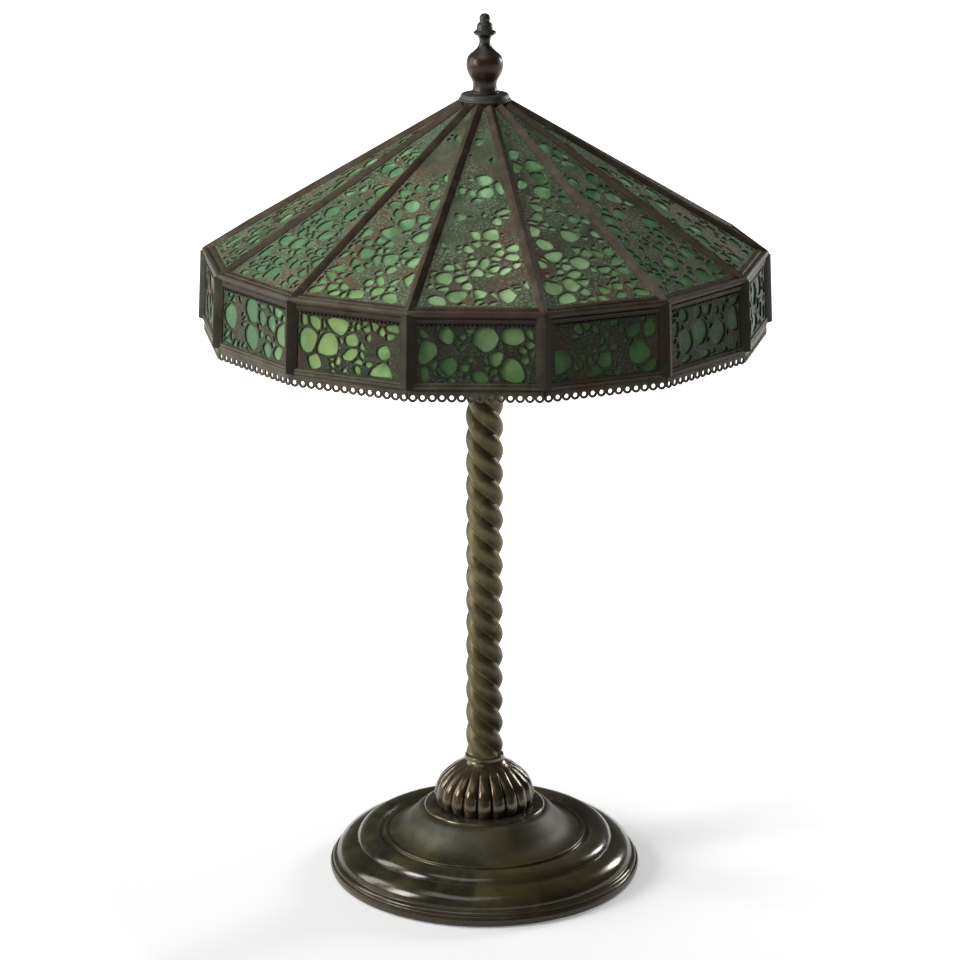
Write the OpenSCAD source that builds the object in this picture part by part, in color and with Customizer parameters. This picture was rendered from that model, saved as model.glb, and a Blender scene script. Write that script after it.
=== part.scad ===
/* [Base] */
// Diameter of the base at its lower moulding
base_d = 232; // [200:1:280]
// Height of the seat for the collar above the table
base_h = 48; // [42:1:60]
// Thickness of the base's wall at the rim
base_wall = 6; // [4:0.5:8]
// Thickness of the base's top, where the collar and weight clamp it
base_top_t = 8; // [5:0.5:10]
// Thickness of the felt pad under the base
pad_t = 1.6; // [1:0.1:3]
// Diameter of the iron weight in the base
weight_d = 84; // [70:1:90]
// Height of the iron weight
weight_h = 20; // [12:1:20]

/* [Cord inlet] */
// Height of the cord inlet's axis above the table
inlet_z = 8; // [7:0.5:9]
// Diameter of the hole for the cord
inlet_bore_d = 6; // [5:0.5:6]
// Outer diameter of the bush's tube
inlet_tube_d = 8; // [7.6:0.2:8.6]
// Diameter of the bush's flange
inlet_flange_d = 11; // [10:0.5:11.5]
// Thickness of the bush's flange
inlet_flange_t = 2; // [1.5:0.5:3]

/* [Collar] */
// Height of the collar from its seat to the top of its ring
collar_h = 42; // [36:1:54]
// Largest diameter of the collar's lobes
collar_d = 74.8; // [66:0.2:84]
// Diameter of the collar's foot flange
collar_flange_d = 90; // [86:1:96]
// Thickness of the foot flange
collar_flange_t = 3; // [2:0.5:4]
// Number of lobes round the collar
lobes = 20; // [16:1:24]
// Depth of the grooves between the lobes
lobe_depth = 3; // [1.5:0.1:4]
// Depth of the cup in the collar's top that holds the stem
stem_cup = 6; // [4:0.5:10]

/* [Stem] */
// Length of the rope stem
stem_len = 316; // [240:1:400]
// Diameter over the strands
stem_d = 27.4; // [24:0.2:30]
// Number of strands in the rope
strands = 3; // [3:1:5]
// Height of one full turn of a strand
strand_lead = 52.5; // [36:0.5:80]
// Turn of the first strand about the stem, at its lower end
strand_turn = 72; // [0:1:120]
// Share of the stem's radius at which each strand's centre lies
strand_share = 0.33; // [0.28:0.01:0.46]
// Wall of the rings that hold the stem's two ends
ring_wall = 1.2; // [1:0.2:4]
// Outer diameter of the centre pipe and the riser
pipe_d = 10.2; // [9:0.1:11]
// Bore of the centre pipe and the riser
pipe_bore_d = 6.4; // [5.6:0.1:7]
// Diameter of each wire lead in the pipe
lead_d = 2.6; // [2:0.1:2.7]
// Height of the neck cup above the stem
neck_h = 30; // [24:1:40]

/* [Lights] */
// Turn of the first socket about the stem
light_turn = 90; // [0:5:120]
// Diameter of the cluster body
cluster_d = 42; // [38:1:48]
// Height of the cluster body
cluster_h = 32; // [28:1:40]
// Wall of the cluster body
cluster_wall = 6; // [5:0.5:8]
// Diameter of the nipple that carries a socket
nipple_d = 9.8; // [9:0.1:10.4]
// Length of nipple that shows between cluster and socket
nipple_gap = 12; // [8:1:20]
// Outer diameter of a socket's shell
socket_d = 31; // [30:0.5:34]
// Length of a socket's shell
socket_len = 34; // [30:1:40]
// Height of a socket's domed cap
socket_cap_h = 20; // [18:1:24]
// Thickness of the socket's sheet metal
socket_wall = 0.9; // [0.6:0.1:1.2]
// Diameter of a bulb's screw base
bulb_base_d = 25.8; // [25:0.1:26]
// Length of a bulb's screw base
bulb_base_len = 24; // [20:1:26]
// Largest diameter of a bulb
bulb_d = 48; // [40:1:56]
// Length of a bulb's glass
bulb_len = 66; // [55:1:75]
// Diameter of a key's shaft
key_shaft_d = 4; // [3:0.2:4.6]
// Length of a key's paddle
key_len = 17; // [12:1:22]

/* [Shade] */
// Number of flat panels round the shade
panels = 14; // [10:1:18]
// Turn of the shade about the stem
shade_turn = -91.74; // [-180:0.01:180]
// Radius of the corners where cone and skirt meet
eave_r = 198.6; // [170:0.2:230]
// Height of the cone from the eaves to the crown
cone_rise = 107.4; // [80:0.2:130]
// Height of the skirt
skirt_h = 50; // [40:1:70]
// How far the skirt's lower corners stand outside its upper ones
skirt_flare = 2.6; // [0:0.1:6]
// Thickness of the pierced sheet
sheet_t = 1.2; // [0.8:0.1:1.6]
// Thickness of the glass
glass_t = 3; // [2:0.1:4]
// Height of the shade's seat above the cluster
riser_show = 103; // [90:1:130]

/* [Cames] */
// Width of the cap on a hip came
hip_w = 7.2; // [5:0.2:8]
// Height of the cap on a hip came
hip_cap = 2.4; // [1.6:0.1:3]
// Width of the cap on a corner post
post_w = 12.4; // [8:0.2:14]
// Height of the cap on a corner post
post_cap = 3; // [2:0.1:4]
// Thickness of the web between two panels
web_t = 1.8; // [1.2:0.1:2.4]
// Thickness of the inner flange that holds the glass
lip_t = 1.2; // [0.8:0.1:2]
// Width of the eaves rail on each of its two faces
rail_w = 6; // [5:0.2:8]
// Height of the eaves rail's cap
rail_cap = 1.5; // [1:0.1:2.4]
// Height of the bottom rail
bottom_w = 6; // [5:0.2:8]
// Play between glass, sheet and cames
glass_play = 0.15; // [0.1:0.05:0.3]

/* [Pierced sheet] */
// Width of metal between two openings
net_w = 2.2; // [1.6:0.1:3]
// Plain margin along the edges of a sheet
margin = 4.6; // [3.6:0.1:6]
// Rows of openings on a cone sheet
cone_rows = 9; // [6:1:11]
// Rows of openings on a skirt sheet
skirt_rows = 3; // [2:1:4]
// Spacing of the openings along a row
opening_pitch = 17; // [14:0.5:22]

/* [Loop border] */
// Spacing of the loops under a panel, before it is fitted to the panel's width
loop_spacing = 6.3; // [5.6:0.1:7]
// Diameter of the hole in a loop
loop_bore_d = 3.5; // [2.6:0.1:3.6]
// Depth of plain border between the bottom rail and the loops
border_neck = 0.2; // [0:0.1:2]
// Thickness of the border
border_t = 1.6; // [1.2:0.1:2]

/* [Crown and finial] */
// Radius of the crown's hub, where the panels end
crown_r = 14.5; // [13:0.5:18]
// Height of the crown from its seat to the finial
crown_h = 19.2; // [18:0.1:24]
// How far the crown's lip reaches over the ends of the hip cames
crown_lip = 0.8; // [0.5:0.1:3]
// Height of the finial
finial_h = 55.8; // [48:0.1:70]
// Largest diameter of the finial
finial_d = 25.8; // [23:0.1:32]
// Depth of the threaded hole in the finial
finial_bore_h = 24; // [18:1:26]

/* [Hidden] */
$fn = 96;
// Number of sockets on the cluster
lights = 3;
// Clearances: between parts that turn, between fixed parts, of a running shaft and round the stem's ends
turn_gap = 0.3;
fixed_gap = 0.1;
run_gap = 0.05;
cup_gap = 0.3;
// Number of steps in each smooth span of a turned profile
span_steps = 5;

// Heights, from the table upwards
stem_z = base_h + collar_h - stem_cup;
stem_top = stem_z + stem_len;
cluster_z = stem_top + neck_h;
cluster_top = cluster_z + cluster_h;
socket_z = cluster_z + cluster_h / 2;
seat_z = cluster_top + riser_show;
crown_top = seat_z + crown_h;
lip_drop = 5.8;
hip_top_z = crown_top - lip_drop;
eave_z = hip_top_z - cone_rise;
skirt_z = eave_z - skirt_h;

// Base and its fastenings
base_r = base_d / 2;
weight_z = base_h - base_top_t - weight_h;
washer_t = 2;
washer_d = 30;
nut_h = 6;
nut_af = 16;
pipe_tail = 2;
pipe_z = weight_z - washer_t - nut_h - pipe_tail;
thread_in = 6;
hex_r = nut_af / 2 / cos(30);

// Shade geometry: half angle of a panel, slopes of the faces and of the corner lines
half_a = 180 / panels;
eave_a = eave_r * cos(half_a);
crown_a = crown_r * cos(half_a);
skirt_r = eave_r + skirt_flare;
skirt_a = skirt_r * cos(half_a);
cone_slope = atan2(cone_rise, eave_a - crown_a);
hip_slope = atan2(cone_rise, eave_r - crown_r);
skirt_slope = atan2(skirt_h, skirt_a - eave_a);
post_slope = atan2(skirt_h, skirt_r - eave_r);
hip_len = norm([eave_r - crown_r, cone_rise]);
post_len = norm([skirt_r - eave_r, skirt_h]);
skirt_len = norm([skirt_a - eave_a, skirt_h]);
pane_t = sheet_t + glass_t;
// Fall of a panel's plane away from its corner line, seen along that line
hip_fall = corner_fall(cone_slope, hip_slope);
post_fall = corner_fall(skirt_slope, post_slope);
// Half the turn between the cone's face and the skirt's face at the eaves
eave_half = (180 - skirt_slope + cone_slope) / 2;
// Distance from the eaves line at which the panels start, so that they clear the rail's web
eave_cut = pane_t / tan(eave_half) + web_t / 2 / sin(eave_half) + glass_play;
cone_end = (eave_a - pane_t * sin(cone_slope) - crown_r - turn_gap) / cos(cone_slope);
bottom_cut = web_t + glass_play;
hip_side = web_t / 2 + glass_play + pane_t * sin(hip_fall);
post_side = web_t / 2 + glass_play + pane_t * sin(post_fall);

light_names = [for (i = [1 : lights]) each [
    str("socket_cap_", i), str("socket_shell_", i), str("socket_liner_", i),
    str("socket_key_", i), str("bulb_base_", i), str("bulb_glass_", i)]];
cone_names = [for (k = [1 : panels]) str("cone_glass_", k)];

bronze = [0.25, 0.22, 0.15];
dark_bronze = [0.15, 0.15, 0.11];
warm_bronze = [0.30, 0.20, 0.14];
brass = [0.62, 0.50, 0.25];
steel = [0.55, 0.55, 0.55];
green_glass = [0.25, 0.52, 0.33];
white_glass = [0.92, 0.91, 0.86];
porcelain = [0.85, 0.83, 0.78];

// Fall of a panel's plane to each side of the corner line between two panels
function corner_fall(face, corner) =
    atan2(sin(face) * sin(half_a), sin(face) * cos(half_a) * sin(corner) + cos(face) * cos(corner));

// Smooth curve through a list of points
function smooth(p, steps = span_steps) = concat(
    [for (i = [0 : len(p) - 2], s = [0 : steps - 1])
        let (t = s / steps, a = p[max(i - 1, 0)], b = p[i], c = p[i + 1], d = p[min(i + 2, len(p) - 1)])
        b + ((c - a) * t + (2 * a - 5 * b + 4 * c - d) * t * t + (3 * b - a - 3 * c + d) * t * t * t) / 2],
    [p[len(p) - 1]]);

// Part of a convex outline on the near side of a line with normal n and offset c
function cut_outline(p, n, c) = [for (i = [0 : 1 : len(p) - 1])
    let (a = p[i], b = p[(i + 1) % len(p)], u = a * n - c, v = b * n - c)
    each concat(u <= 0 ? [a] : [], (u < 0) != (v < 0) ? [a + (b - a) * u / (u - v)] : [])];

// Outline of one opening: the ground nearer to its own seed than to any other, less the net
function opening(p, seeds, own, k = 0) = k == len(seeds) ? p :
    opening(k == own ? p : cut_outline(p, seeds[k] - seeds[own],
        (seeds[k] * seeds[k] - seeds[own] * seeds[own] - net_w * norm(seeds[k] - seeds[own])) / 2),
        seeds, own, k + 1);

// Outline with its corners cut, so that an opening looks like a pebble
function soften(p) = [for (i = [0 : 1 : len(p) - 1])
    let (a = p[i], b = p[(i + 1) % len(p)])
    each [a * 0.7 + b * 0.3, a * 0.3 + b * 0.7]];

// Seeds in loose rows over a trapezoid that is low and high half-widths wide
function net_seeds(y0, y1, low, high, rows, shuffle) = [for (j = [0 : rows - 1])
    let (
        t = (j + 0.5) / rows,
        half = low + (high - low) * t,
        count = max(1, round(2 * half / opening_pitch)),
        step = 2 * half / count,
        rise = (y1 - y0) / rows,
        r = rands(-0.27, 0.27, 2 * count, shuffle + j))
    for (i = [0 : count - 1])
        [(i + 0.5 + r[i]) * step - half, y0 + (j + 0.5 + r[count + i]) * rise]];

// Trapezoid outline, widest at the bottom
function trapezoid(y0, y1, low, high) = [[-low, y0], [low, y0], [high, y1], [-high, y1]];

// Half width of a panel at a distance up its face, clear of its cames
function cone_half(y, side) =
    (eave_a - y * cos(cone_slope)) * tan(half_a) - side / cos(atan(cos(cone_slope) * tan(half_a)));
function skirt_half(y, side) =
    (skirt_a - y * cos(skirt_slope)) * tan(half_a) - side / cos(atan(cos(skirt_slope) * tan(half_a)));

// Each panel in turn: x along the edge, y up the face and z outwards
module on_face(k, radius, z, slope)
    rotate([0, 0, shade_turn + 2 * half_a * k])
        translate([radius, 0, z]) rotate([0, slope, 0]) rotate([0, 0, 90]) children();
module on_cone(k) on_face(k, eave_a, eave_z, cone_slope) children();
module on_skirt(k) on_face(k, skirt_a, skirt_z, skirt_slope) children();
// Each corner line in turn: z up the line, x sideways and y outwards
module on_corner(k, radius, z, slope)
    rotate([0, 0, shade_turn + half_a + 2 * half_a * k])
        translate([radius, 0, z]) rotate([0, slope - 90, 0]) rotate([0, 0, -90]) children();
// Each socket in turn: z outwards along its axis and x down
module on_socket(i)
    rotate([0, 0, light_turn + 360 / lights * (i - 1)])
        translate([0, 0, socket_z]) rotate([0, 90, 0]) children();

module turned(points) rotate_extrude() polygon(points);
module tube(outer, inner, z0, z1)
    translate([0, 0, z0]) difference() {
        cylinder(d = outer, h = z1 - z0);
        translate([0, 0, -1]) cylinder(d = inner, h = z1 - z0 + 2);
    }

pad_r = base_r - 4;
module felt_pad() color("darkgreen") cylinder(r = pad_r, h = pad_t);

// Outline of the base, from the rim inwards: rim and bead, lower and upper moulding, ring, then the dish
foot_r = collar_flange_d / 2;
ring_in = 41.5;
bead_r = base_r - ring_in;
dish_r = bead_r - 3;
function dish_at(share, z) = [dish_r - share * (dish_r - foot_r), z];
function base_outline() = concat(
    smooth([[base_r - 1, pad_t], [base_r - 0.5, 3.4], [base_r - 0.2, 5.2], [base_r - 0.8, 7.2]]),
    [[base_r - 2.4, 8.2]],
    smooth([[base_r - 2.2, 9.4], [base_r - 2.8, 11.2], [base_r - 4.2, 12.6]]),
    [[base_r - 6.4, 13.6]],
    smooth([[base_r - 6.8, 14.8], [base_r - 8.6, 17.4], [base_r - 11.2, 19.6], [base_r - 14.4, 21.6],
        [base_r - 17.2, 22.8]]),
    [[base_r - 18.6, 23.2]],
    smooth([[base_r - 18.4, 24.4], [base_r - 19.8, 26.6], [base_r - 23.6, 29], [base_r - 29.5, 30.5],
        [base_r - 35, 29.9], [base_r - 38.6, 28]]),
    smooth([[bead_r + 1, 29], [bead_r, 30], [bead_r - 1.5, 30.2]]),
    smooth([dish_at(0, 29.6), dish_at(0.34, base_h - 15), dish_at(0.7, base_h - 5.4), dish_at(0.925, base_h),
        dish_at(1, base_h)]));
// Depth of the flat that the inlet bush's flange seats on, below the rim
inlet_face = 4;
// Length of the bush's tube behind its flange
bush_tail = base_wall + 4;
module inlet_axis() translate([0, base_r - inlet_face, inlet_z]) rotate([-90, 0, 0]) children();
module base_foot() color(dark_bronze) difference() {
    turned(concat([[0, pad_t]], base_outline(), [[0, base_h]]));
    // Hollow under the base
    turned([[0, 0], [base_r - base_wall, 0], [base_r - base_wall, 5], [base_r - base_wall - 8, 9.5],
        [base_r - base_wall - 20, 16], [bead_r, 22], [weight_d / 2 + 4, base_h - base_top_t],
        [0, base_h - base_top_t]]);
    cylinder(d = pipe_d + 2 * fixed_gap, h = base_h + 1);
    inlet_axis() cylinder(d = inlet_flange_d + 1, h = 10);
    inlet_axis() translate([0, 0, -bush_tail - 2])
        cylinder(d = inlet_tube_d + 2 * fixed_gap, h = bush_tail + 4);
}
module base_weight() color("dimgray") tube(weight_d, pipe_d + 2 * fixed_gap, weight_z, weight_z + weight_h);
module base_washer() color(steel)
    tube(washer_d, pipe_d + 2 * fixed_gap, weight_z - washer_t, weight_z);
module hex_nut(z) translate([0, 0, z]) difference() {
    cylinder(r = hex_r, h = nut_h, $fn = 6);
    translate([0, 0, -1]) cylinder(d = pipe_d + 2 * fixed_gap, h = nut_h + 2);
}
module base_nut() color(steel) hex_nut(weight_z - washer_t - nut_h);
module inlet_bush() color("black") inlet_axis() difference() {
    union() {
        cylinder(d = inlet_flange_d, h = inlet_flange_t);
        translate([0, 0, -bush_tail]) cylinder(d = inlet_tube_d, h = bush_tail + 1);
    }
    translate([0, 0, -bush_tail - 1]) cylinder(d = inlet_bore_d, h = bush_tail + inlet_flange_t + 2);
}

// Collar: rows of a lobed skin between the flange and the ring
ring_r = stem_d / 2 + cup_gap + ring_wall;
lobe_steps = 6;
skin_z = base_h + collar_flange_t - 1;
skin_top = base_h + collar_h - 3;
collar_side = smooth([[collar_d / 2 - 1.9, skin_z], [collar_d / 2, base_h + collar_h * 0.24],
    [collar_d / 2 - 3, base_h + collar_h * 0.49], [ring_r + 8.8, base_h + collar_h * 0.743],
    [ring_r + 0.8, base_h + collar_h * 0.886], [ring_r - 0.4, skin_top]], 3);
function lobe_cut(x) = 1 - sqrt(1 - x * x);
function lobed_ring(r, z) = [for (j = [0 : lobes * lobe_steps - 1])
    let (
        x = 2 * (j % lobe_steps) / lobe_steps - 1,
        a = 360 * j / (lobes * lobe_steps),
        deep = min(lobe_depth, lobe_depth * r / collar_d * 2))
    [(r - deep * lobe_cut(x)) * cos(a), (r - deep * lobe_cut(x)) * sin(a), z]];
module lobed_skin() {
    count = lobes * lobe_steps;
    rows = len(collar_side);
    skin = [for (p = collar_side) each lobed_ring(p[0], p[1])];
    sides = [for (i = [0 : rows - 2], j = [0 : count - 1])
        let (a = i * count + j, b = i * count + (j + 1) % count)
        each [[a, a + count, b], [b, a + count, b + count]]];
    polyhedron(concat(skin, [[0, 0, skin_z], [0, 0, skin_top]]),
        concat(sides,
            [for (j = [0 : count - 1]) [j, (j + 1) % count, rows * count]],
            [for (j = [0 : count - 1]) [(rows - 1) * count + (j + 1) % count, (rows - 1) * count + j,
                rows * count + 1]]));
}
module collar() color(bronze) difference() {
    union() {
        turned([[0, base_h], [foot_r, base_h], [foot_r, base_h + 1], [foot_r - 1.5, base_h + collar_flange_t],
            [0, base_h + collar_flange_t]]);
        lobed_skin();
        translate([0, 0, skin_top - 1]) cylinder(r = ring_r, h = base_h + collar_h - skin_top + 1);
    }
    translate([0, 0, stem_z]) cylinder(d = stem_d + 2 * cup_gap, h = stem_cup + 1);
    translate([0, 0, base_h - 1]) cylinder(d = pipe_d + 2 * fixed_gap, h = collar_h + 2);
}

// Stem: round strands laid round the centre, twisted together
strand_steps = 10;
strand_at = strand_share * stem_d / 2;
strand_r = stem_d / 2 - strand_at;
slices_per_turn = 14;
function strand_edge(t) = strand_at * cos(t) + sqrt(strand_r ^ 2 - (strand_at * sin(t)) ^ 2);
module stem_rope() color(bronze) difference() {
    translate([0, 0, stem_z]) rotate([0, 0, strand_turn])
        linear_extrude(height = stem_len, twist = 360 * stem_len / strand_lead,
            slices = round(slices_per_turn * stem_len / strand_lead), $fn = strands * strand_steps)
            polygon([for (i = [0 : strands - 1], j = [0 : strand_steps - 1])
                let (t = (j / strand_steps - 0.5) * 360 / strands, a = t + i * 360 / strands)
                strand_edge(t) * [cos(a), sin(a)]]);
    translate([0, 0, stem_z - 1]) cylinder(d = pipe_d + 2 * fixed_gap, h = stem_len + 2);
}
module stem_pipe() color(steel) tube(pipe_d, pipe_bore_d, pipe_z, cluster_z + thread_in);
module wire_leads() color("black") for (side = [-1, 1])
    translate([side * (lead_d / 2 + fixed_gap), 0, pipe_z])
        cylinder(d = lead_d, h = cluster_z + thread_in - pipe_z);
neck_top_r = cluster_d / 2 - 7;
module neck_cup() color(bronze) difference() {
    turned(concat([[0, stem_top - stem_cup], [ring_r, stem_top - stem_cup]],
        smooth([[ring_r, stem_top], [ring_r - 1.5, stem_top + 3], [pipe_d / 2 + 4, stem_top + neck_h * 0.55],
            [neck_top_r, cluster_z - 2]]),
        [[neck_top_r, cluster_z], [0, cluster_z]]));
    translate([0, 0, stem_top - stem_cup - 1]) cylinder(d = stem_d + 2 * cup_gap, h = stem_cup + 1);
    translate([0, 0, stem_top - 1]) cylinder(d = pipe_d + 2 * fixed_gap, h = neck_h + 2);
}

// Cluster and sockets. Places along a socket's axis are measured from the stem's axis
cap_z = cluster_d / 2 + nipple_gap;
shell_z = cap_z + socket_cap_h - 5;
liner_z = shell_z - 2;
liner_floor = key_shaft_d + 2;
bulb_z = liner_z + liner_floor + 1;
glass_z = bulb_z + bulb_base_len;
key_z = liner_z + 1 + key_shaft_d / 2;
module cluster_body() color(bronze) difference() {
    translate([0, 0, cluster_z]) turned([[0, 0], [cluster_d / 2 - 4, 0], [cluster_d / 2, 4],
        [cluster_d / 2, cluster_h - 4], [cluster_d / 2 - 4, cluster_h], [0, cluster_h]]);
    translate([0, 0, cluster_z + thread_in])
        cylinder(d = cluster_d - 2 * cluster_wall, h = cluster_h - 2 * thread_in);
    translate([0, 0, cluster_z - 1]) cylinder(d = pipe_d + 2 * fixed_gap, h = cluster_h + 2);
    for (i = [1 : lights]) on_socket(i) cylinder(d = nipple_d + 2 * fixed_gap, h = cluster_d);
}
module socket_nipples() color(steel) for (i = [1 : lights]) on_socket(i)
    tube(nipple_d, nipple_d - 3.6, cluster_d / 2 - cluster_wall, cap_z + 4);
cap_r = socket_d / 2 + fixed_gap + socket_wall;
module socket_cap(i) color(brass) on_socket(i) difference() {
    turned([[nipple_d / 2 + fixed_gap, cap_z], [nipple_d / 2 + 2, cap_z], [nipple_d / 2 + 3, cap_z + 4],
        [cap_r - 2, cap_z + 9], [cap_r, cap_z + 12], [cap_r, cap_z + socket_cap_h],
        [cap_r - socket_wall, cap_z + socket_cap_h], [cap_r - socket_wall, cap_z + 12.4],
        [cap_r - 2 - socket_wall, cap_z + 10], [nipple_d / 2 + 1.6, cap_z + 5],
        [nipple_d / 2 + fixed_gap, cap_z + 5]]);
    translate([0, 0, key_z]) rotate([0, 90, 0]) cylinder(d = key_shaft_d + 2 * run_gap, h = socket_d);
}
module socket_shell(i) color(brass) on_socket(i) difference() {
    tube(socket_d, socket_d - 2 * socket_wall, shell_z, shell_z + socket_len);
    translate([0, 0, key_z]) rotate([0, 90, 0]) cylinder(d = key_shaft_d + 2 * run_gap, h = socket_d);
}
liner_d = socket_d - 2 * socket_wall - 2 * fixed_gap;
module socket_liner(i) color(porcelain) on_socket(i) difference() {
    translate([0, 0, liner_z]) cylinder(d = liner_d, h = glass_z - liner_z - 0.5);
    translate([0, 0, liner_z + liner_floor]) cylinder(d = bulb_base_d + 2 * turn_gap, h = socket_len + 10);
    translate([0, 0, key_z]) rotate([0, 90, 0]) cylinder(d = key_shaft_d + 2 * run_gap, h = socket_d);
}
key_drop = cap_r + 9;
module socket_key(i) color(brass) on_socket(i) translate([0, 0, key_z]) rotate([0, 90, 0]) {
    translate([0, 0, 8]) cylinder(d = key_shaft_d, h = key_drop - 7);
    translate([0, 0, key_drop]) rotate([90, 0, 0]) translate([0, key_len / 4, -1.2])
        linear_extrude(height = 2.4) intersection() {
            translate([0, key_len * 0.2]) circle(r = key_len * 0.62);
            translate([0, -key_len * 0.2]) circle(r = key_len * 0.62);
        }
}
module bulb_base(i) color(brass) on_socket(i)
    turned([[0, bulb_z - 0.7], [5, bulb_z - 0.7], [bulb_base_d / 2 - 3, bulb_z + 2],
        [bulb_base_d / 2, bulb_z + 4], [bulb_base_d / 2, glass_z], [0, glass_z]]);
function bulb_side(in) = smooth([[bulb_base_d / 2 - in, glass_z], [bulb_base_d / 2 + 1 - in, glass_z + 5],
    [bulb_d / 2 - 2 - in, glass_z + bulb_len * 0.42], [bulb_d / 2 - in, glass_z + bulb_len * 0.62],
    [bulb_d / 2 - 7 - in, glass_z + bulb_len * 0.88 - in / 2], [0, glass_z + bulb_len - in]]);
bulb_wall = 1;
module bulb_glass(i) color(white_glass) on_socket(i) rotate_extrude() difference() {
    polygon(concat([[0, glass_z]], bulb_side(0)));
    polygon(concat([[0, glass_z - 1]], [[bulb_base_d / 2 - bulb_wall, glass_z - 1]], bulb_side(bulb_wall)));
}

// Riser, rest and finial
module riser_pipe() color(steel)
    tube(pipe_d, pipe_bore_d, cluster_top - thread_in, crown_top + finial_bore_h - 2);
rest_t = 4;
rest_d = 2 * crown_r - 3;
module rest_nut() color(steel) hex_nut(seat_z - rest_t - nut_h);
module shade_rest() color(bronze) tube(rest_d, pipe_d + 2 * fixed_gap, seat_z - rest_t, seat_z);
finial_r = finial_d / 2;
function finial_at(r, share) = [r, crown_top + share * finial_h];
module finial() color(warm_bronze) difference() {
    turned(concat([[0, crown_top], [finial_r - 2.8, crown_top]],
        smooth([finial_at(finial_r - 3, 0.02), finial_at(finial_r - 4.1, 0.055),
            finial_at(finial_r - 4.5, 0.1), finial_at(finial_r - 4.1, 0.16), finial_at(finial_r - 1.9, 0.23),
            finial_at(finial_r - 0.5, 0.29), finial_at(finial_r, 0.36), finial_at(finial_r - 0.5, 0.43),
            finial_at(finial_r - 2.4, 0.49), finial_at(finial_r - 5.6, 0.54), finial_at(finial_r - 7.8, 0.59),
            finial_at(finial_r - 8.9, 0.65), finial_at(finial_r - 7.6, 0.71)]),
        smooth([finial_at(finial_r - 5.2, 0.745), finial_at(finial_r - 5, 0.765),
            finial_at(finial_r - 6, 0.79), finial_at(finial_r - 7.2, 0.82), finial_at(finial_r - 7.7, 0.86),
            finial_at(finial_r - 8.8, 0.885)]),
        smooth([finial_at(finial_r - 9.2, 0.9), finial_at(finial_r - 9.4, 0.95), finial_at(0, 1)])));
    translate([0, 0, crown_top - 1]) cylinder(d = pipe_d + 2 * run_gap, h = finial_bore_h + 1);
}

// Section of a came: rounded cap, web between the panels and inner flange
function came_half(w, cap, fall) = let (
    half = w / 2, flange = 0.8 * half, slack = glass_play + pane_t / cos(fall)) [
    [0, cap], [half * 0.2, cap * 0.96], [half * 0.6, cap * 0.6 - half * 0.3 * tan(fall)],
    [half, cap * 0.25 - half * tan(fall)], [half, -half * tan(fall)], [web_t / 2, -web_t / 2 * tan(fall)],
    [web_t / 2, -slack - web_t / 2 * tan(fall)], [flange, -slack - flange * tan(fall)],
    [flange, -slack - lip_t - flange * tan(fall)], [0, -slack - lip_t]];
function came(w, cap, fall) = let (half = came_half(w, cap, fall), n = len(half))
    concat(half, [for (i = [n - 2 : -1 : 1]) [-half[i][0], half[i][1]]]);
came_depth = pane_t + glass_play + lip_t;
// Play between the ends of a came and the rails, and between two mitred rails
end_gap = 0.3;
joint_gap = 0.1;
hip_start = (rail_w + end_gap) * hip_len / norm([eave_a - crown_a, cone_rise]);
// Radius at which the hip cames end, clear of the crown's hub and of each other
hip_end_r = max(crown_r + came_depth * sin(hip_slope) + turn_gap, (hip_w / 2 + joint_gap) / sin(half_a));
hip_end = (eave_r - hip_end_r) / cos(hip_slope);
module hip_cames() color(bronze) for (k = [0 : panels - 1])
    on_corner(k, eave_r, eave_z, hip_slope) translate([0, 0, hip_start])
        linear_extrude(height = hip_end - hip_start) polygon(came(hip_w, hip_cap, hip_fall));
module corner_posts() color(bronze) for (k = [0 : panels - 1])
    on_corner(k, skirt_r, skirt_z, post_slope) translate([0, 0, bottom_w + end_gap])
        linear_extrude(height = post_len - bottom_w - rail_w - 2 * end_gap)
            polygon(came(post_w, post_cap, post_fall));

// Crown: hub that sits on the rest, with a sloping lip over the ends of the hip cames
lip_r = hip_end_r + crown_lip;
lip_gap = 0.3;
lip_z = hip_top_z + (hip_cap + lip_gap) / cos(hip_slope);
lip_edge = 1.4;
lip_edge_z = lip_z - (lip_r - crown_r) * tan(hip_slope);
module crown() color(warm_bronze) turned([
    [pipe_d / 2 + turn_gap, seat_z], [crown_r, seat_z], [crown_r, lip_z], [lip_r, lip_edge_z],
    [lip_r, lip_edge_z + lip_edge], [lip_r - 1.8, crown_top - 0.6], [lip_r - 2.6, crown_top],
    [pipe_d / 2 + turn_gap, crown_top]]);

// Directions in the section of a rail: out of and down each face, and in along the mitre between them
cone_out = [sin(cone_slope), cos(cone_slope)];
cone_down = [cos(cone_slope), -sin(cone_slope)];
skirt_out = [sin(skirt_slope), cos(skirt_slope)];
skirt_down = [cos(skirt_slope), -sin(skirt_slope)];
mitre_in = -(cone_out + skirt_out) / norm(cone_out + skirt_out);
// One straight rail along a panel's edge, cut on the mitre at both ends
module rail(k, radius, z, section) rotate([0, 0, shade_turn + 2 * half_a * k]) intersection() {
    translate([radius, 0, z]) rotate([90, 0, 0])
        linear_extrude(height = 2 * radius * tan(half_a) + 20, center = true) polygon(section);
    translate([joint_gap / 2 / sin(half_a), 0, z - 30]) linear_extrude(height = 60)
        polygon([[0, 0], [2 * radius, -2 * radius * tan(half_a)], [2 * radius, 2 * radius * tan(half_a)]]);
}
web_side = web_t / 2 / sin(eave_half);
web_deep = (pane_t + glass_play) / sin(eave_half);
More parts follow.
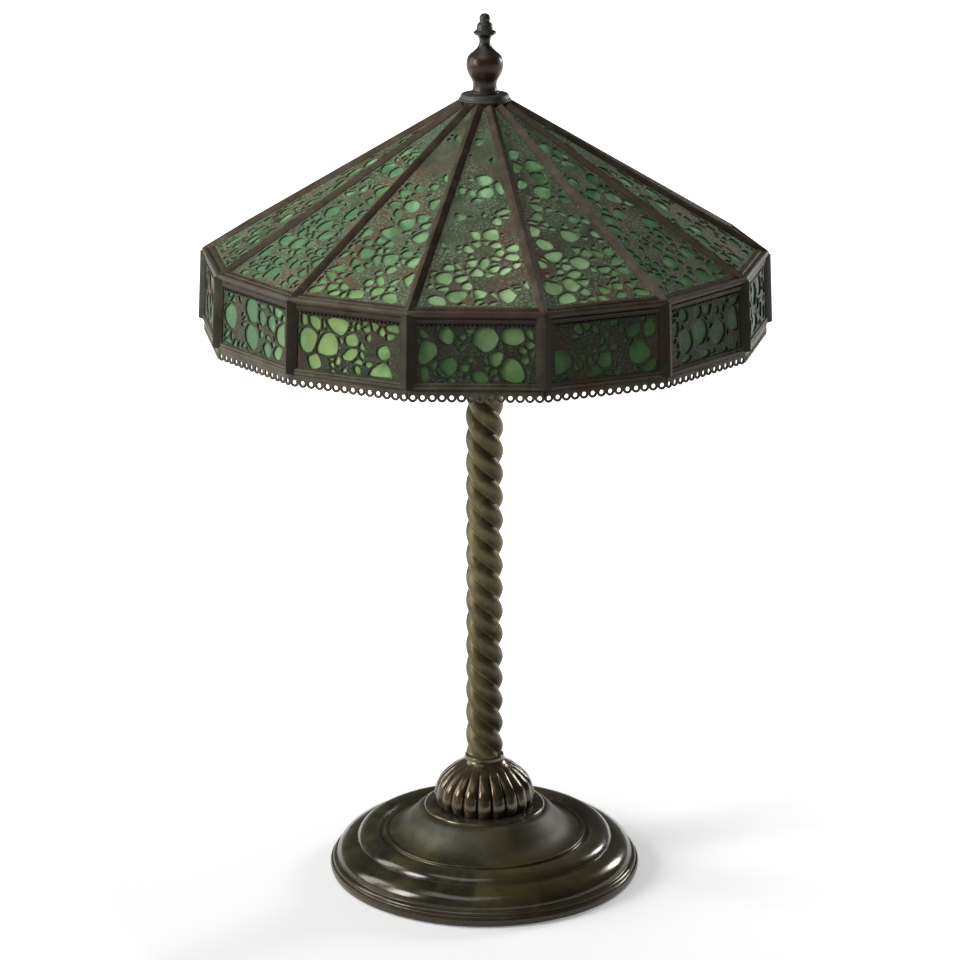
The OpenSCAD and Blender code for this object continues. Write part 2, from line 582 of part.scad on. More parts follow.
// The inner flange ends level with the cap, clear of the cames
lip_reach = rail_w - web_side - web_deep * cos(eave_half);
eaves_section = [
    -rail_w * cone_down, -rail_w * cone_down + 0.6 * rail_cap * cone_out,
    -rail_cap * cone_down + rail_cap * cone_out, 0.75 * rail_cap * (cone_out + skirt_out),
    rail_cap * skirt_down + rail_cap * skirt_out,
    rail_w * skirt_down + 0.6 * rail_cap * skirt_out, rail_w * skirt_down,
    web_side * skirt_down, web_side * skirt_down + web_deep * mitre_in,
    (web_side + lip_reach) * skirt_down + web_deep * mitre_in,
    (web_side + lip_reach) * skirt_down + web_deep * mitre_in - lip_t * skirt_out,
    (web_deep + lip_t / sin(eave_half)) * mitre_in,
    -(web_side + lip_reach) * cone_down + web_deep * mitre_in - lip_t * cone_out,
    -(web_side + lip_reach) * cone_down + web_deep * mitre_in,
    -web_side * cone_down + web_deep * mitre_in, -web_side * cone_down];
module eaves_rails() color(warm_bronze) for (k = [0 : panels - 1]) rail(k, eave_a, eave_z, eaves_section);
bottom_deep = pane_t + glass_play;
bottom_section = [
    rail_cap * skirt_out, rail_cap * skirt_out - 0.8 * bottom_w * skirt_down,
    0.4 * rail_cap * skirt_out - bottom_w * skirt_down, -bottom_w * skirt_down, -web_t * skirt_down,
    -bottom_deep * skirt_out - web_t * skirt_down, -bottom_deep * skirt_out - bottom_w * skirt_down,
    -(bottom_deep + lip_t) * skirt_out - bottom_w * skirt_down, -(bottom_deep + lip_t) * skirt_out];
module bottom_rails() color(bronze) for (k = [0 : panels - 1]) rail(k, skirt_a, skirt_z, bottom_section);

// Border of loops under the bottom rail
border_end = 0.5;
border_w = 2 * (skirt_a * tan(half_a) - border_end);
loops = round(border_w / loop_spacing);
loop_pitch = border_w / loops;
loop_r = loop_pitch / 2 + 0.15;
loop_y = -loop_r - border_neck;
module border_strip() difference() {
    union() {
        translate([-border_w / 2, loop_y]) square([border_w, -loop_y]);
        loop_row() circle(r = loop_r);
    }
    loop_row() circle(d = loop_bore_d);
}
module loop_row() for (i = [0 : loops - 1])
    translate([(i + 0.5 - loops / 2) * loop_pitch, loop_y]) children();
module loop_border() color(bronze) for (k = [0 : panels - 1])
    on_skirt(k) translate([0, 0, -border_t]) linear_extrude(height = border_t) border_strip();

// Panels: pierced sheet outside, glass behind it
module openings(window, seeds) for (i = [0 : len(seeds) - 1])
    let (outline = opening(window, seeds, i)) if (len(outline) > 2) polygon(soften(outline));
cone_top = min(cone_end - margin, (eave_a - (net_w + hip_side + margin) / tan(half_a)) / cos(cone_slope));
cone_bottom = rail_w + margin / 2;
function cone_outline(side) =
    trapezoid(eave_cut, cone_end, cone_half(eave_cut, side), cone_half(cone_end, side));
cone_window = trapezoid(cone_bottom, cone_top,
    cone_half(cone_bottom, hip_side + margin), cone_half(cone_top, hip_side + margin));
module cone_sheets() color(bronze) for (k = [0 : panels - 1])
    on_cone(k) translate([0, 0, -sheet_t]) linear_extrude(height = sheet_t) difference() {
        polygon(cone_outline(hip_side));
        openings(cone_window, net_seeds(cone_bottom, cone_top, cone_window[1][0], cone_window[2][0],
            cone_rows, 100 * k));
    }
module cone_glass(k) color(green_glass) on_cone(k - 1) translate([0, 0, -pane_t])
    linear_extrude(height = glass_t) polygon(cone_outline(hip_side));
skirt_bottom = bottom_w + 1;
skirt_top = skirt_len - rail_w - 1;
function skirt_outline(side) = trapezoid(bottom_cut, skirt_len - eave_cut,
    skirt_half(bottom_cut, side), skirt_half(skirt_len - eave_cut, side));
skirt_window = trapezoid(skirt_bottom, skirt_top,
    skirt_half(skirt_bottom, post_w / 2 + 1), skirt_half(skirt_top, post_w / 2 + 1));
module skirt_sheets() color(bronze) for (k = [0 : panels - 1])
    on_skirt(k) translate([0, 0, -sheet_t]) linear_extrude(height = sheet_t) difference() {
        polygon(skirt_outline(post_side));
        openings(skirt_window, net_seeds(skirt_bottom, skirt_top, skirt_window[1][0], skirt_window[2][0],
            skirt_rows, 100 * k + 50));
    }
module skirt_glasses() color(green_glass) for (k = [0 : panels - 1])
    on_skirt(k) translate([0, 0, -pane_t]) linear_extrude(height = glass_t) polygon(skirt_outline(post_side));

felt_pad();
base_foot();
base_weight();
base_washer();
base_nut();
inlet_bush();
collar();
stem_rope();
stem_pipe();
wire_leads();
neck_cup();
cluster_body();
socket_nipples();
for (i = [1 : lights]) {
    socket_cap(i);
    socket_shell(i);
    socket_liner(i);
    socket_key(i);
    bulb_base(i);
    bulb_glass(i);
}
riser_pipe();
rest_nut();
shade_rest();
finial();
crown();
hip_cames();
eaves_rails();
corner_posts();
bottom_rails();
loop_border();
cone_sheets();
skirt_sheets();
skirt_glasses();
for (k = [1 : panels]) cone_glass(k);
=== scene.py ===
import math
import random

import bpy
from mathutils import Matrix, Vector


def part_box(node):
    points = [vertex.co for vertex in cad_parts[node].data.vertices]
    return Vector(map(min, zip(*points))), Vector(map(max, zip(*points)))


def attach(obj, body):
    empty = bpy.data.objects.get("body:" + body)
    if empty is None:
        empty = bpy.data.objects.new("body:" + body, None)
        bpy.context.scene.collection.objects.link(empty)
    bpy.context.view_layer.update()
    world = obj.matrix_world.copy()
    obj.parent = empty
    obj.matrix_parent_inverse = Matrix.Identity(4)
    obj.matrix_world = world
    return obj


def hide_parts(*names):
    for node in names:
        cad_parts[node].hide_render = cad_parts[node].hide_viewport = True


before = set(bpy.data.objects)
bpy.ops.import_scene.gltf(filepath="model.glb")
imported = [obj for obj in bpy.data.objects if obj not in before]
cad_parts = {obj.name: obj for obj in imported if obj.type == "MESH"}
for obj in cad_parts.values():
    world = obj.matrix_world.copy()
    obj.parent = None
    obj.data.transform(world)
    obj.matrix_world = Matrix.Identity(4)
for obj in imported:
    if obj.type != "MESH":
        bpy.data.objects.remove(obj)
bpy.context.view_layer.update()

print("lamp: frame loaded,", len(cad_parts), "nodes")


# Camera at the photo's angle, from a fit to the lamp's outline
cameraSetup = {
    "place": (-0.0042, -2.1148, 0.9283),
    "pitchDown": 0.288,
    "lens": 113.93,
    "sensor": 36,
    "shiftX": 0.00126,
}


def makeCamera(setup):
    tilt = math.pi / 2 - setup["pitchDown"]
    bpy.ops.object.camera_add(location=setup["place"], rotation=(tilt, 0, 0))
    camera = bpy.context.active_object
    camera.name = "photoCamera"
    camera.data.lens = setup["lens"]
    camera.data.sensor_width = setup["sensor"]
    camera.data.shift_x = setup["shiftX"]
    bpy.context.scene.camera = camera


# Selecting, naming and finishing pieces
def deselectAll():
    if bpy.context.object and bpy.context.object.mode != "OBJECT":
        bpy.ops.object.mode_set(mode="OBJECT")
    bpy.ops.object.select_all(action="DESELECT")


def selectOnly(*pieces):
    deselectAll()
    for piece in pieces:
        piece.select_set(True)
    bpy.context.view_layer.objects.active = pieces[0]


def named(name):
    piece = bpy.context.active_object
    piece.name = name
    piece.data.name = name
    return piece


def tidyMesh(piece, reach=1e-6):
    selectOnly(piece)
    bpy.ops.object.mode_set(mode="EDIT")
    bpy.ops.mesh.select_all(action="SELECT")
    bpy.ops.mesh.remove_doubles(threshold=reach)
    bpy.ops.mesh.normals_make_consistent(inside=False)
    bpy.ops.object.mode_set(mode="OBJECT")


def applyModifiers(piece):
    selectOnly(piece)
    for modifier in list(piece.modifiers):
        bpy.ops.object.modifier_apply(modifier=modifier.name)


def placeAt(piece, matrix):
    piece.matrix_world = matrix
    selectOnly(piece)
    bpy.ops.object.transform_apply(location=True, rotation=True, scale=True)


def copyTo(piece, matrices):
    # One finished model becomes a ring of copies, each with its own mesh
    copies = []
    for matrix in matrices:
        selectOnly(piece)
        bpy.ops.object.duplicate()
        copy = bpy.context.active_object
        placeAt(copy, matrix)
        copies.append(copy)
    bpy.data.objects.remove(piece)
    return copies


def joinAll(pieces, name):
    selectOnly(*pieces)
    bpy.ops.object.join()
    return named(name)


def dress(piece, body, material, nodes=(), angle=35):
    selectOnly(piece)
    bpy.ops.object.shade_smooth_by_angle(angle=math.radians(angle))
    piece.data.materials.clear()
    piece.data.materials.append(material)
    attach(piece, body)
    if nodes:
        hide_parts(*nodes)


# Shapes: turned on the lathe, drawn as a bar, pierced from sheet
curveSteps = 5  # straight steps between two points of a turned outline


def turnedPiece(name, stretches, steps):
    # Each stretch is a smooth curve of (radius, height) points that starts at the end of the one before it.
    # Stretches meet in sharp corners, and one along the axis makes no surface
    deselectAll()
    bpy.ops.curve.primitive_bezier_curve_add()
    curve = named(name).data
    curve.splines.clear()
    curve.resolution_u = curveSteps
    for before, stretch in zip(stretches[-1:] + stretches[:-1], stretches):
        points = before[-1:] + stretch
        if not any(radius for radius, height in points):
            continue
        kind = "AUTO" if len(points) > 2 else "VECTOR"
        spline = curve.splines.new("BEZIER")
        spline.bezier_points.add(len(points) - 1)
        for point, (radius, height) in zip(spline.bezier_points, points):
            point.co = (radius, 0, height)
            point.handle_left_type = kind
            point.handle_right_type = kind
    bpy.ops.object.convert(target="MESH")
    bpy.ops.object.mode_set(mode="EDIT")
    bpy.ops.mesh.select_all(action="SELECT")
    bpy.ops.mesh.remove_doubles(threshold=1e-6)
    bpy.ops.mesh.spin(steps=steps, angle=2 * math.pi, center=(0, 0, 0), axis=(0, 0, 1))
    bpy.ops.object.mode_set(mode="OBJECT")
    piece = named(name)
    tidyMesh(piece, 1e-5)
    return piece


def sectionBar(name, section, length, start=0.0, rings=1):
    # A circle pulled to the outline of the section, then extruded along the bar
    deselectAll()
    bpy.ops.mesh.primitive_circle_add(vertices=len(section), radius=1, fill_type="NGON")
    piece = named(name)
    for vertex, (x, y) in zip(piece.data.vertices, section):
        vertex.co = (x, y, start)
    bpy.ops.object.mode_set(mode="EDIT")
    bpy.ops.mesh.select_all(action="SELECT")
    for ring in range(rings):
        bpy.ops.mesh.extrude_region_move(TRANSFORM_OT_translate={"value": (0, 0, length / rings)})
    bpy.ops.mesh.select_all(action="SELECT")
    bpy.ops.mesh.normals_make_consistent(inside=False)
    bpy.ops.object.mode_set(mode="OBJECT")
    return piece


def piercedSheet(name, outline, openings, thickness, edge, edgeSteps=0):
    # A flat curve with holes, filled, given its thickness and a rounded edge
    deselectAll()
    bpy.ops.curve.primitive_bezier_circle_add()
    curve = named(name).data
    curve.splines.clear()
    curve.dimensions = "2D"
    curve.fill_mode = "BOTH"
    for ring in [outline] + openings:
        spline = curve.splines.new("POLY")
        spline.points.add(len(ring) - 1)
        for point, spot in zip(spline.points, ring):
            point.co = (spot[0], spot[1], 0, 1)
        spline.use_cyclic_u = True
    curve.extrude = thickness / 2 - edge
    curve.bevel_depth = edge
    curve.bevel_resolution = edgeSteps
    curve.offset = -edge
    bpy.ops.object.convert(target="MESH")
    piece = named(name)
    tidyMesh(piece)
    return piece


# Materials
def newMaterial(name):
    material = bpy.data.materials.new(name)
    material.use_nodes = True
    return material, material.node_tree, material.node_tree.nodes["Principled BSDF"]


def objectPlace(tree):
    return tree.nodes.new("ShaderNodeTexCoord").outputs["Object"]


def noise(tree, place, scale, detail=4, roughness=0.55, distortion=0):
    node = tree.nodes.new("ShaderNodeTexNoise")
    node.inputs["Scale"].default_value = scale
    node.inputs["Detail"].default_value = detail
    node.inputs["Roughness"].default_value = roughness
    node.inputs["Distortion"].default_value = distortion
    tree.links.new(place, node.inputs["Vector"])
    return node.outputs["Fac"]


def ramp(tree, value, stops):
    node = tree.nodes.new("ShaderNodeValToRGB")
    while len(node.color_ramp.elements) < len(stops):
        node.color_ramp.elements.new(1)
    for element, (position, colour) in zip(node.color_ramp.elements, stops):
        element.position = position
        element.color = (*colour, 1) if isinstance(colour, tuple) else (colour, colour, colour, 1)
    tree.links.new(value, node.inputs["Fac"])
    return node.outputs["Color"]


def mixColour(tree, share, first, second):
    node = tree.nodes.new("ShaderNodeMix")
    node.data_type = "RGBA"
    tree.links.new(share, node.inputs[0])
    for socket, colour in ((node.inputs[6], first), (node.inputs[7], second)):
        if isinstance(colour, tuple):
            socket.default_value = (*colour, 1)
        else:
            tree.links.new(colour, socket)
    return node.outputs[2]


def spread(tree, value, low, high, fromLow=0.3, fromHigh=0.7):
    node = tree.nodes.new("ShaderNodeMapRange")
    node.inputs["From Min"].default_value = fromLow
    node.inputs["From Max"].default_value = fromHigh
    node.inputs["To Min"].default_value = low
    node.inputs["To Max"].default_value = high
    tree.links.new(value, node.inputs["Value"])
    return node.outputs["Result"]


def bump(tree, shader, height, depth):
    node = tree.nodes.new("ShaderNodeBump")
    node.inputs["Distance"].default_value = depth
    tree.links.new(height, node.inputs["Height"])
    tree.links.new(node.outputs["Normal"], shader.inputs["Normal"])


def cells(tree, place, scale):
    node = tree.nodes.new("ShaderNodeTexVoronoi")
    node.feature = "DISTANCE_TO_EDGE"
    node.inputs["Scale"].default_value = scale
    tree.links.new(place, node.inputs["Vector"])
    return node.outputs["Distance"]


def mathNode(tree, operation, first, second):
    node = tree.nodes.new("ShaderNodeMath")
    node.operation = operation
    for socket, value in zip(node.inputs, (first, second)):
        if isinstance(value, (int, float)):
            socket.default_value = value
        else:
            tree.links.new(value, socket)
    return node.outputs[0]


def vectorMath(tree, operation, place, other=None):
    node = tree.nodes.new("ShaderNodeVectorMath")
    node.operation = operation
    tree.links.new(place, node.inputs[0])
    if other:
        node.inputs[1].default_value = other
    return node.outputs["Value"]


def near(tree, centre, reach):
    # One at the centre and nothing at the reach
    return spread(tree, vectorMath(tree, "DISTANCE", objectPlace(tree), centre), 1.0, 0.0, 0.0, reach)


def heightOf(tree, place):
    node = tree.nodes.new("ShaderNodeSeparateXYZ")
    tree.links.new(place, node.inputs[0])
    return node.outputs["Z"]


def patinaMetal(name, look):
    material, tree, shader = newMaterial(name)
    place = objectPlace(tree)
    cloud = noise(tree, place, look["cloudScale"], detail=7, roughness=0.62, distortion=0.4)
    colour = ramp(tree, cloud, look["tones"])
    blotch = noise(tree, place, look["blotchScale"], detail=3, roughness=0.5)
    colour = mixColour(tree, ramp(tree, blotch, look["blotchEdge"]), colour, look["blotch"])
    if "net" in look:
        # A fine net in the sheet, too small to cut, with green showing through it in places
        net = ramp(tree, cells(tree, place, look["netScale"]), look["netEdge"])
        where = ramp(tree, noise(tree, place, look["netPatch"], detail=2), look["netPatchEdge"])
        colour = mixColour(tree, mathNode(tree, "MULTIPLY", net, where), colour, look["net"])
    if "fleck" in look:
        # Rubbed points of metal in loose clusters
        point = tree.nodes.new("ShaderNodeTexVoronoi")
        point.inputs["Scale"].default_value = look["fleckScale"]
        tree.links.new(place, point.inputs["Vector"])
        dot = ramp(tree, point.outputs["Distance"], look["fleckEdge"])
        where = ramp(tree, noise(tree, place, look["fleckPatch"], detail=2), look["fleckPatchEdge"])
        colour = mixColour(tree, mathNode(tree, "MULTIPLY", dot, where), colour, look["fleck"])
    if "wornAndSheen" in look:
        # Bright on edges and ridges, dark in grooves: real wear and dirt, and on the collar's lobes and the
        # base's rim lines also painted highlight
        ridge = tree.nodes.new("ShaderNodeNewGeometry").outputs["Pointiness"]
        colour = mixColour(tree, ramp(tree, ridge, look["wornAndSheenEdge"]), colour, look["wornAndSheen"])
        colour = mixColour(tree, ramp(tree, ridge, look["grooveEdge"]), colour, look["groove"])
    # A tone by height: the base's brown rim and the finial's grey top are their own colour, the dark band low
    # on the eaves rails and beads is painted shadow
    if "ends" in look:
        colour = mixColour(tree, ramp(tree, heightOf(tree, place), look["endsEdge"]), colour, look["ends"])
    tree.links.new(colour, shader.inputs["Base Color"])
    rough = spread(tree, cloud, *look["roughness"])
    if "dull" in look:
        dull = spread(tree, heightOf(tree, place), 0.0, look["dull"], *look["dullEdge"])
        rough = mathNode(tree, "ADD", rough, dull)
    tree.links.new(rough, shader.inputs["Roughness"])
    grain = noise(tree, place, look["grainScale"], detail=5, roughness=0.6)
    bump(tree, shader, grain, look["grainDepth"])
    shader.inputs["Metallic"].default_value = look["metal"]
    shader.inputs["Specular IOR Level"].default_value = look["gloss"]
    return material


def mottledGlass(name, look):
    material, tree, shader = newMaterial(name)
    place = objectPlace(tree)
    cloud = noise(tree, place, look["cloudScale"], detail=5, roughness=0.6, distortion=1.2)
    fragment = tree.nodes.new("ShaderNodeTexVoronoi")
    fragment.feature = "SMOOTH_F1"
    fragment.inputs["Scale"].default_value = look["fragmentScale"]
    fragment.inputs["Smoothness"].default_value = look["fragmentBlur"]
    tree.links.new(place, fragment.inputs["Vector"])
    chance = tree.nodes.new("ShaderNodeSeparateColor")
    tree.links.new(fragment.outputs["Color"], chance.inputs["Color"])
    tone = mathNode(tree, "ADD", mathNode(tree, "MULTIPLY", cloud, 1 - look["fragmentShare"]),
                    mathNode(tree, "MULTIPLY", chance.outputs["Red"], look["fragmentShare"]))
    colour = ramp(tree, tone, look["tones"])
    patch = noise(tree, place, look["patchScale"], detail=2, roughness=0.5, distortion=0.6)
    colour = mixColour(tree, ramp(tree, patch, look["patchEdge"]), colour, look["patch"])
    # Patches of tint, painted light and painted shade, each fading out from its centre and broken by the
    # glass's mottle
    for centre, reach, toneLightAndShade, strength in look["tintLightAndShade"]:
        broken = spread(tree, patch, strength, look["tintLightAndShadeLeast"] * strength)
        share = mathNode(tree, "MULTIPLY", near(tree, centre, reach), broken)
        colour = mixColour(tree, share, colour, toneLightAndShade)
    tree.links.new(colour, shader.inputs["Base Color"])
    ripple = noise(tree, place, look["rippleScale"], detail=3, roughness=0.5, distortion=0.5)
    bump(tree, shader, ripple, look["rippleDepth"])
    shader.inputs["Roughness"].default_value = look["roughness"]
    shader.inputs["Specular IOR Level"].default_value = look["gloss"]
    shader.inputs["Subsurface Weight"].default_value = look["through"]
    shader.inputs["Subsurface Radius"].default_value = look["throughReach"]
    shader.inputs["Subsurface Scale"].default_value = 1.0  # the reach is in metres
    return material


def plainFinish(name, look):
    # Small hidden hardware: one tone broken by a fine noise in colour, gloss and surface
    material, tree, shader = newMaterial(name)
    place = objectPlace(tree)
    grain = noise(tree, place, look["grainScale"], detail=4)
    colour = ramp(tree, grain, [(0.3, look["dark"]), (0.7, look["light"])])
    tree.links.new(colour, shader.inputs["Base Color"])
    tree.links.new(spread(tree, grain, *look["roughness"]), shader.inputs["Roughness"])
    bump(tree, shader, grain, look["grainDepth"])
    shader.inputs["Metallic"].default_value = look["metal"]
    return material


oliveBronze = patinaMetal("oliveBronze", {
    "cloudScale": 70, "blotchScale": 28, "grainScale": 420, "grainDepth": 0.0002,
    "tones": [(0.25, (0.055, 0.048, 0.02)), (0.5, (0.12, 0.104, 0.047)), (0.75, (0.2, 0.175, 0.09))],
    "blotch": (0.08, 0.055, 0.028), "blotchEdge": [(0.5, 0.0), (0.72, 0.7)],
    "wornAndSheen": (0.27, 0.24, 0.145), "wornAndSheenEdge": [(0.52, 0.0), (0.62, 0.6)],
    "groove": (0.02, 0.017, 0.009), "grooveEdge": [(0.4, 0.85), (0.48, 0.0)],
    "metal": 0.3, "gloss": 0.25, "roughness": (0.34, 0.52),
})
collarBronze = patinaMetal("collarBronze", {
    "cloudScale": 80, "blotchScale": 30, "grainScale": 420, "grainDepth": 0.0001,
    "tones": [(0.25, (0.036, 0.027, 0.014)), (0.5, (0.098, 0.078, 0.044)), (0.78, (0.2, 0.165, 0.1))],
    "blotch": (0.09, 0.058, 0.03), "blotchEdge": [(0.5, 0.0), (0.7, 0.8)],
    # Bright lobe ridges: partly wear, partly painted highlight
    "wornAndSheen": (0.38, 0.32, 0.21), "wornAndSheenEdge": [(0.53, 0.0), (0.62, 0.6)],
    "groove": (0.008, 0.006, 0.004), "grooveEdge": [(0.42, 0.95), (0.495, 0.0)],
    "metal": 0.55, "gloss": 0.5, "roughness": (0.16, 0.27),
})
darkBronze = patinaMetal("darkBronze", {
    "cloudScale": 34, "blotchScale": 14, "grainScale": 260, "grainDepth": 0.00003,
    "tones": [(0.28, (0.012, 0.011, 0.006)), (0.5, (0.042, 0.038, 0.017)), (0.75, (0.11, 0.1, 0.046))],
    "blotch": (0.085, 0.067, 0.024), "blotchEdge": [(0.48, 0.0), (0.66, 0.8)],
    "wornAndSheen": (0.22, 0.19, 0.12), "wornAndSheenEdge": [(0.53, 0.0), (0.6, 0.6)],
    "groove": (0.008, 0.007, 0.004), "grooveEdge": [(0.42, 0.8), (0.48, 0.0)],
    "dull": 0.34, "dullEdge": (0.0285, 0.032),
    "ends": (0.07, 0.047, 0.024), "endsEdge": [(0.006, 0.7), (0.016, 0.0)],
    "metal": 0.2, "gloss": 0.52, "roughness": (0.13, 0.24),
})
warmBronze = patinaMetal("warmBronze", {
    "cloudScale": 90, "blotchScale": 45, "grainScale": 500, "grainDepth": 0.00012,
    "tones": [(0.25, (0.019, 0.011, 0.007)), (0.5, (0.052, 0.03, 0.017)), (0.8, (0.105, 0.066, 0.038))],
    "blotch": (0.035, 0.033, 0.028), "blotchEdge": [(0.5, 0.0), (0.7, 0.7)],
    "ends": (0.045, 0.045, 0.043), "endsEdge": [(0.606, 0.0), (0.617, 0.85)],
    "metal": 0.3, "gloss": 0.24, "roughness": (0.24, 0.42),
})
crownBronze = patinaMetal("crownBronze", {
    "cloudScale": 80, "blotchScale": 40, "grainScale": 400, "grainDepth": 0.0002,
    "tones": [(0.25, (0.025, 0.025, 0.022)), (0.5, (0.055, 0.054, 0.047)), (0.8, (0.11, 0.108, 0.095))],
    "blotch": (0.07, 0.06, 0.045), "blotchEdge": [(0.52, 0.0), (0.7, 0.6)],
    "metal": 0.2, "gloss": 0.35, "roughness": (0.4, 0.6),
})
cameLook = {
    "cloudScale": 60, "blotchScale": 22, "grainScale": 380, "grainDepth": 0.0002,
    "blotchEdge": [(0.52, 0.0), (0.68, 0.7)],
    "metal": 0.2, "gloss": 0.15, "roughness": (0.4, 0.6),
}
cameBronze = patinaMetal("cameBronze", {
    **cameLook,
    "tones": [(0.25, (0.04, 0.035, 0.023)), (0.5, (0.085, 0.075, 0.051)), (0.8, (0.16, 0.145, 0.105))],
    "blotch": (0.09, 0.057, 0.037),
})
# A darker copy of the cames' bronze: painted shade over the corner posts
shadedPostBronze = patinaMetal("shadedPostBronze", {
    **cameLook, "gloss": 0.12,
    "tones": [(0.25, (0.013, 0.012, 0.007)), (0.5, (0.028, 0.026, 0.016)), (0.8, (0.062, 0.058, 0.038))],
    "blotch": (0.042, 0.028, 0.017),
})
railBronze = patinaMetal("railBronze", {
    **cameLook, "blotchScale": 18,
    "tones": [(0.25, (0.03, 0.024, 0.015)), (0.5, (0.066, 0.053, 0.034)), (0.8, (0.13, 0.11, 0.075))],
    "blotch": (0.08, 0.048, 0.03),
    # Painted shadow under the eaves: the rails' lower part and the beads below it darker
    "ends": (0.012, 0.0095, 0.006), "endsEdge": [(0.4668, 0.85), (0.4692, 0.0)],
})
sheetLook = {
    "cloudScale": 55, "grainScale": 520, "grainDepth": 0.00025,
    "netScale": 330, "netEdge": [(0.08, 0.0), (0.2, 0.9)],
    "netPatch": 30, "netPatchEdge": [(0.36, 0.0), (0.54, 1.0)],
    "fleckScale": 300, "fleckEdge": [(0.14, 1.0), (0.3, 0.0)],
    "fleckPatch": 36, "fleckPatchEdge": [(0.54, 0.0), (0.64, 0.9)],
    "metal": 0.15, "gloss": 0.15, "roughness": (0.45, 0.65),
}
sheetBronze = patinaMetal("sheetBronze", {
    **sheetLook, "blotchScale": 20,
    "tones": [(0.25, (0.05, 0.055, 0.033)), (0.5, (0.088, 0.102, 0.061)), (0.8, (0.165, 0.183, 0.122))],
    "blotch": (0.14, 0.085, 0.058), "blotchEdge": [(0.47, 0.0), (0.6, 0.85)],
    "net": (0.15, 0.23, 0.14), "fleck": (0.4, 0.31, 0.2),
})
# A darker copy of the cone's sheet bronze: painted shade over the skirt
shadedSkirtBronze = patinaMetal("shadedSkirtBronze", {
    **sheetLook, "blotchScale": 22,
    "tones": [(0.25, (0.014, 0.015, 0.0085)), (0.5, (0.03, 0.031, 0.018)), (0.8, (0.065, 0.07, 0.04))],
    "blotch": (0.075, 0.041, 0.027), "blotchEdge": [(0.5, 0.0), (0.64, 0.8)],
    "net": (0.055, 0.09, 0.048), "fleck": (0.21, 0.16, 0.097),
})
greenGlass = mottledGlass("greenGlass", {
    "cloudScale": 32, "patchScale": 55, "rippleScale": 120, "rippleDepth": 0.0004,
    "fragmentScale": 95, "fragmentBlur": 0.9, "fragmentShare": 0.4,
    "tones": [(0.22, (0.036, 0.115, 0.04)), (0.42, (0.108, 0.255, 0.106)), (0.58, (0.255, 0.48, 0.235)),
              (0.76, (0.545, 0.785, 0.49))],
    "patch": (0.075, 0.14, 0.07), "patchEdge": [(0.52, 0.0), (0.7, 0.7)],
    # Patches around the shade, each centre, reach, tint and strength: the pale ones are painted light through
    # the glass, the dark ones on the front skirt and the right of the cone painted shade, the rest darker or
    # greener glass
    "tintLightAndShade": [
        # Painted light through the glass: a pale patch on the left front skirt
        ((-0.105, -0.165, 0.446), 0.07, (0.62, 0.82, 0.27), 1.35),
        ((-0.160, -0.115, 0.446), 0.075, (0.1, 0.17, 0.1), 2.0),
        # Painted shade: darker glass in the front skirt under the eaves
        ((0.005, -0.195, 0.43), 0.1, (0.045, 0.175, 0.022), 1.6),
        ((0.14, -0.165, 0.43), 0.13, (0.17, 0.39, 0.11), 1.4),
        # Painted light through the glass: a pale patch low on the front cone
        ((0.015, -0.155, 0.495), 0.1, (0.66, 0.9, 0.5), 1.1),
        # Painted shade: darker glass on the right of the cone
        ((0.15, -0.09, 0.5), 0.13, (0.08, 0.15, 0.08), 0.9),
        ((-0.115, -0.09, 0.5), 0.14, (0.105, 0.215, 0.11), 1.6),
    ],
    "tintLightAndShadeLeast": 0.2,
    "roughness": 0.34, "gloss": 0.12, "through": 0.3, "throughReach": (0.003, 0.004, 0.003),
})
satinBrass = plainFinish("satinBrass", {
    "grainScale": 160, "grainDepth": 0.00008, "metal": 1.0, "roughness": (0.22, 0.4),
    "dark": (0.42, 0.3, 0.12), "light": (0.62, 0.47, 0.22),
})
zincSteel = plainFinish("zincSteel", {
    "grainScale": 220, "grainDepth": 0.00006, "metal": 1.0, "roughness": (0.28, 0.45),
    "dark": (0.4, 0.4, 0.39), "light": (0.58, 0.58, 0.56),
})
castIron = plainFinish("castIron", {
    "grainScale": 300, "grainDepth": 0.0004, "metal": 0.6, "roughness": (0.55, 0.75),
    "dark": (0.05, 0.05, 0.05), "light": (0.1, 0.1, 0.1),
})
blackBush = plainFinish("blackBush", {
    "grainScale": 500, "grainDepth": 0.00008, "metal": 0.0, "roughness": (0.35, 0.5),
    "dark": (0.012, 0.012, 0.012), "light": (0.03, 0.03, 0.03),
})
leadCover = plainFinish("leadCover", {
    "grainScale": 500, "grainDepth": 0.00008, "metal": 0.0, "roughness": (0.5, 0.65),
    "dark": (0.02, 0.02, 0.02), "light": (0.045, 0.042, 0.04),
})
glazedLiner = plainFinish("glazedLiner", {
    "grainScale": 90, "grainDepth": 0.00004, "metal": 0.0, "roughness": (0.12, 0.25),
    "dark": (0.72, 0.7, 0.64), "light": (0.82, 0.8, 0.75),
})
frostedBulb = plainFinish("frostedBulb", {
    "grainScale": 700, "grainDepth": 0.00004, "metal": 0.0, "roughness": (0.3, 0.42),
    "dark": (0.82, 0.81, 0.77), "light": (0.9, 0.89, 0.85),
})
greenFelt = plainFinish("greenFelt", {
    "grainScale": 1400, "grainDepth": 0.0006, "metal": 0.0, "roughness": (0.85, 0.98),
    "dark": (0.02, 0.06, 0.03), "light": (0.05, 0.13, 0.07),
})
print("lamp: finishes ready")


# Stem, collar and base
baseShape = {
    "wall": 0.006, "top": 0.008, "pipe": 0.0052, "weight": 0.046, "beadIn": 0.0413, "beadHalf": 0.003,
    "inletZ": 0.008, "seatDepth": 0.004, "steps": 160,
    # The bush's seat and its tube: width, and where the drill starts and ends from the seat
    "drills": [(0.012, (0.0, 0.010)), (0.0082, (-0.016, 0.002))],
}


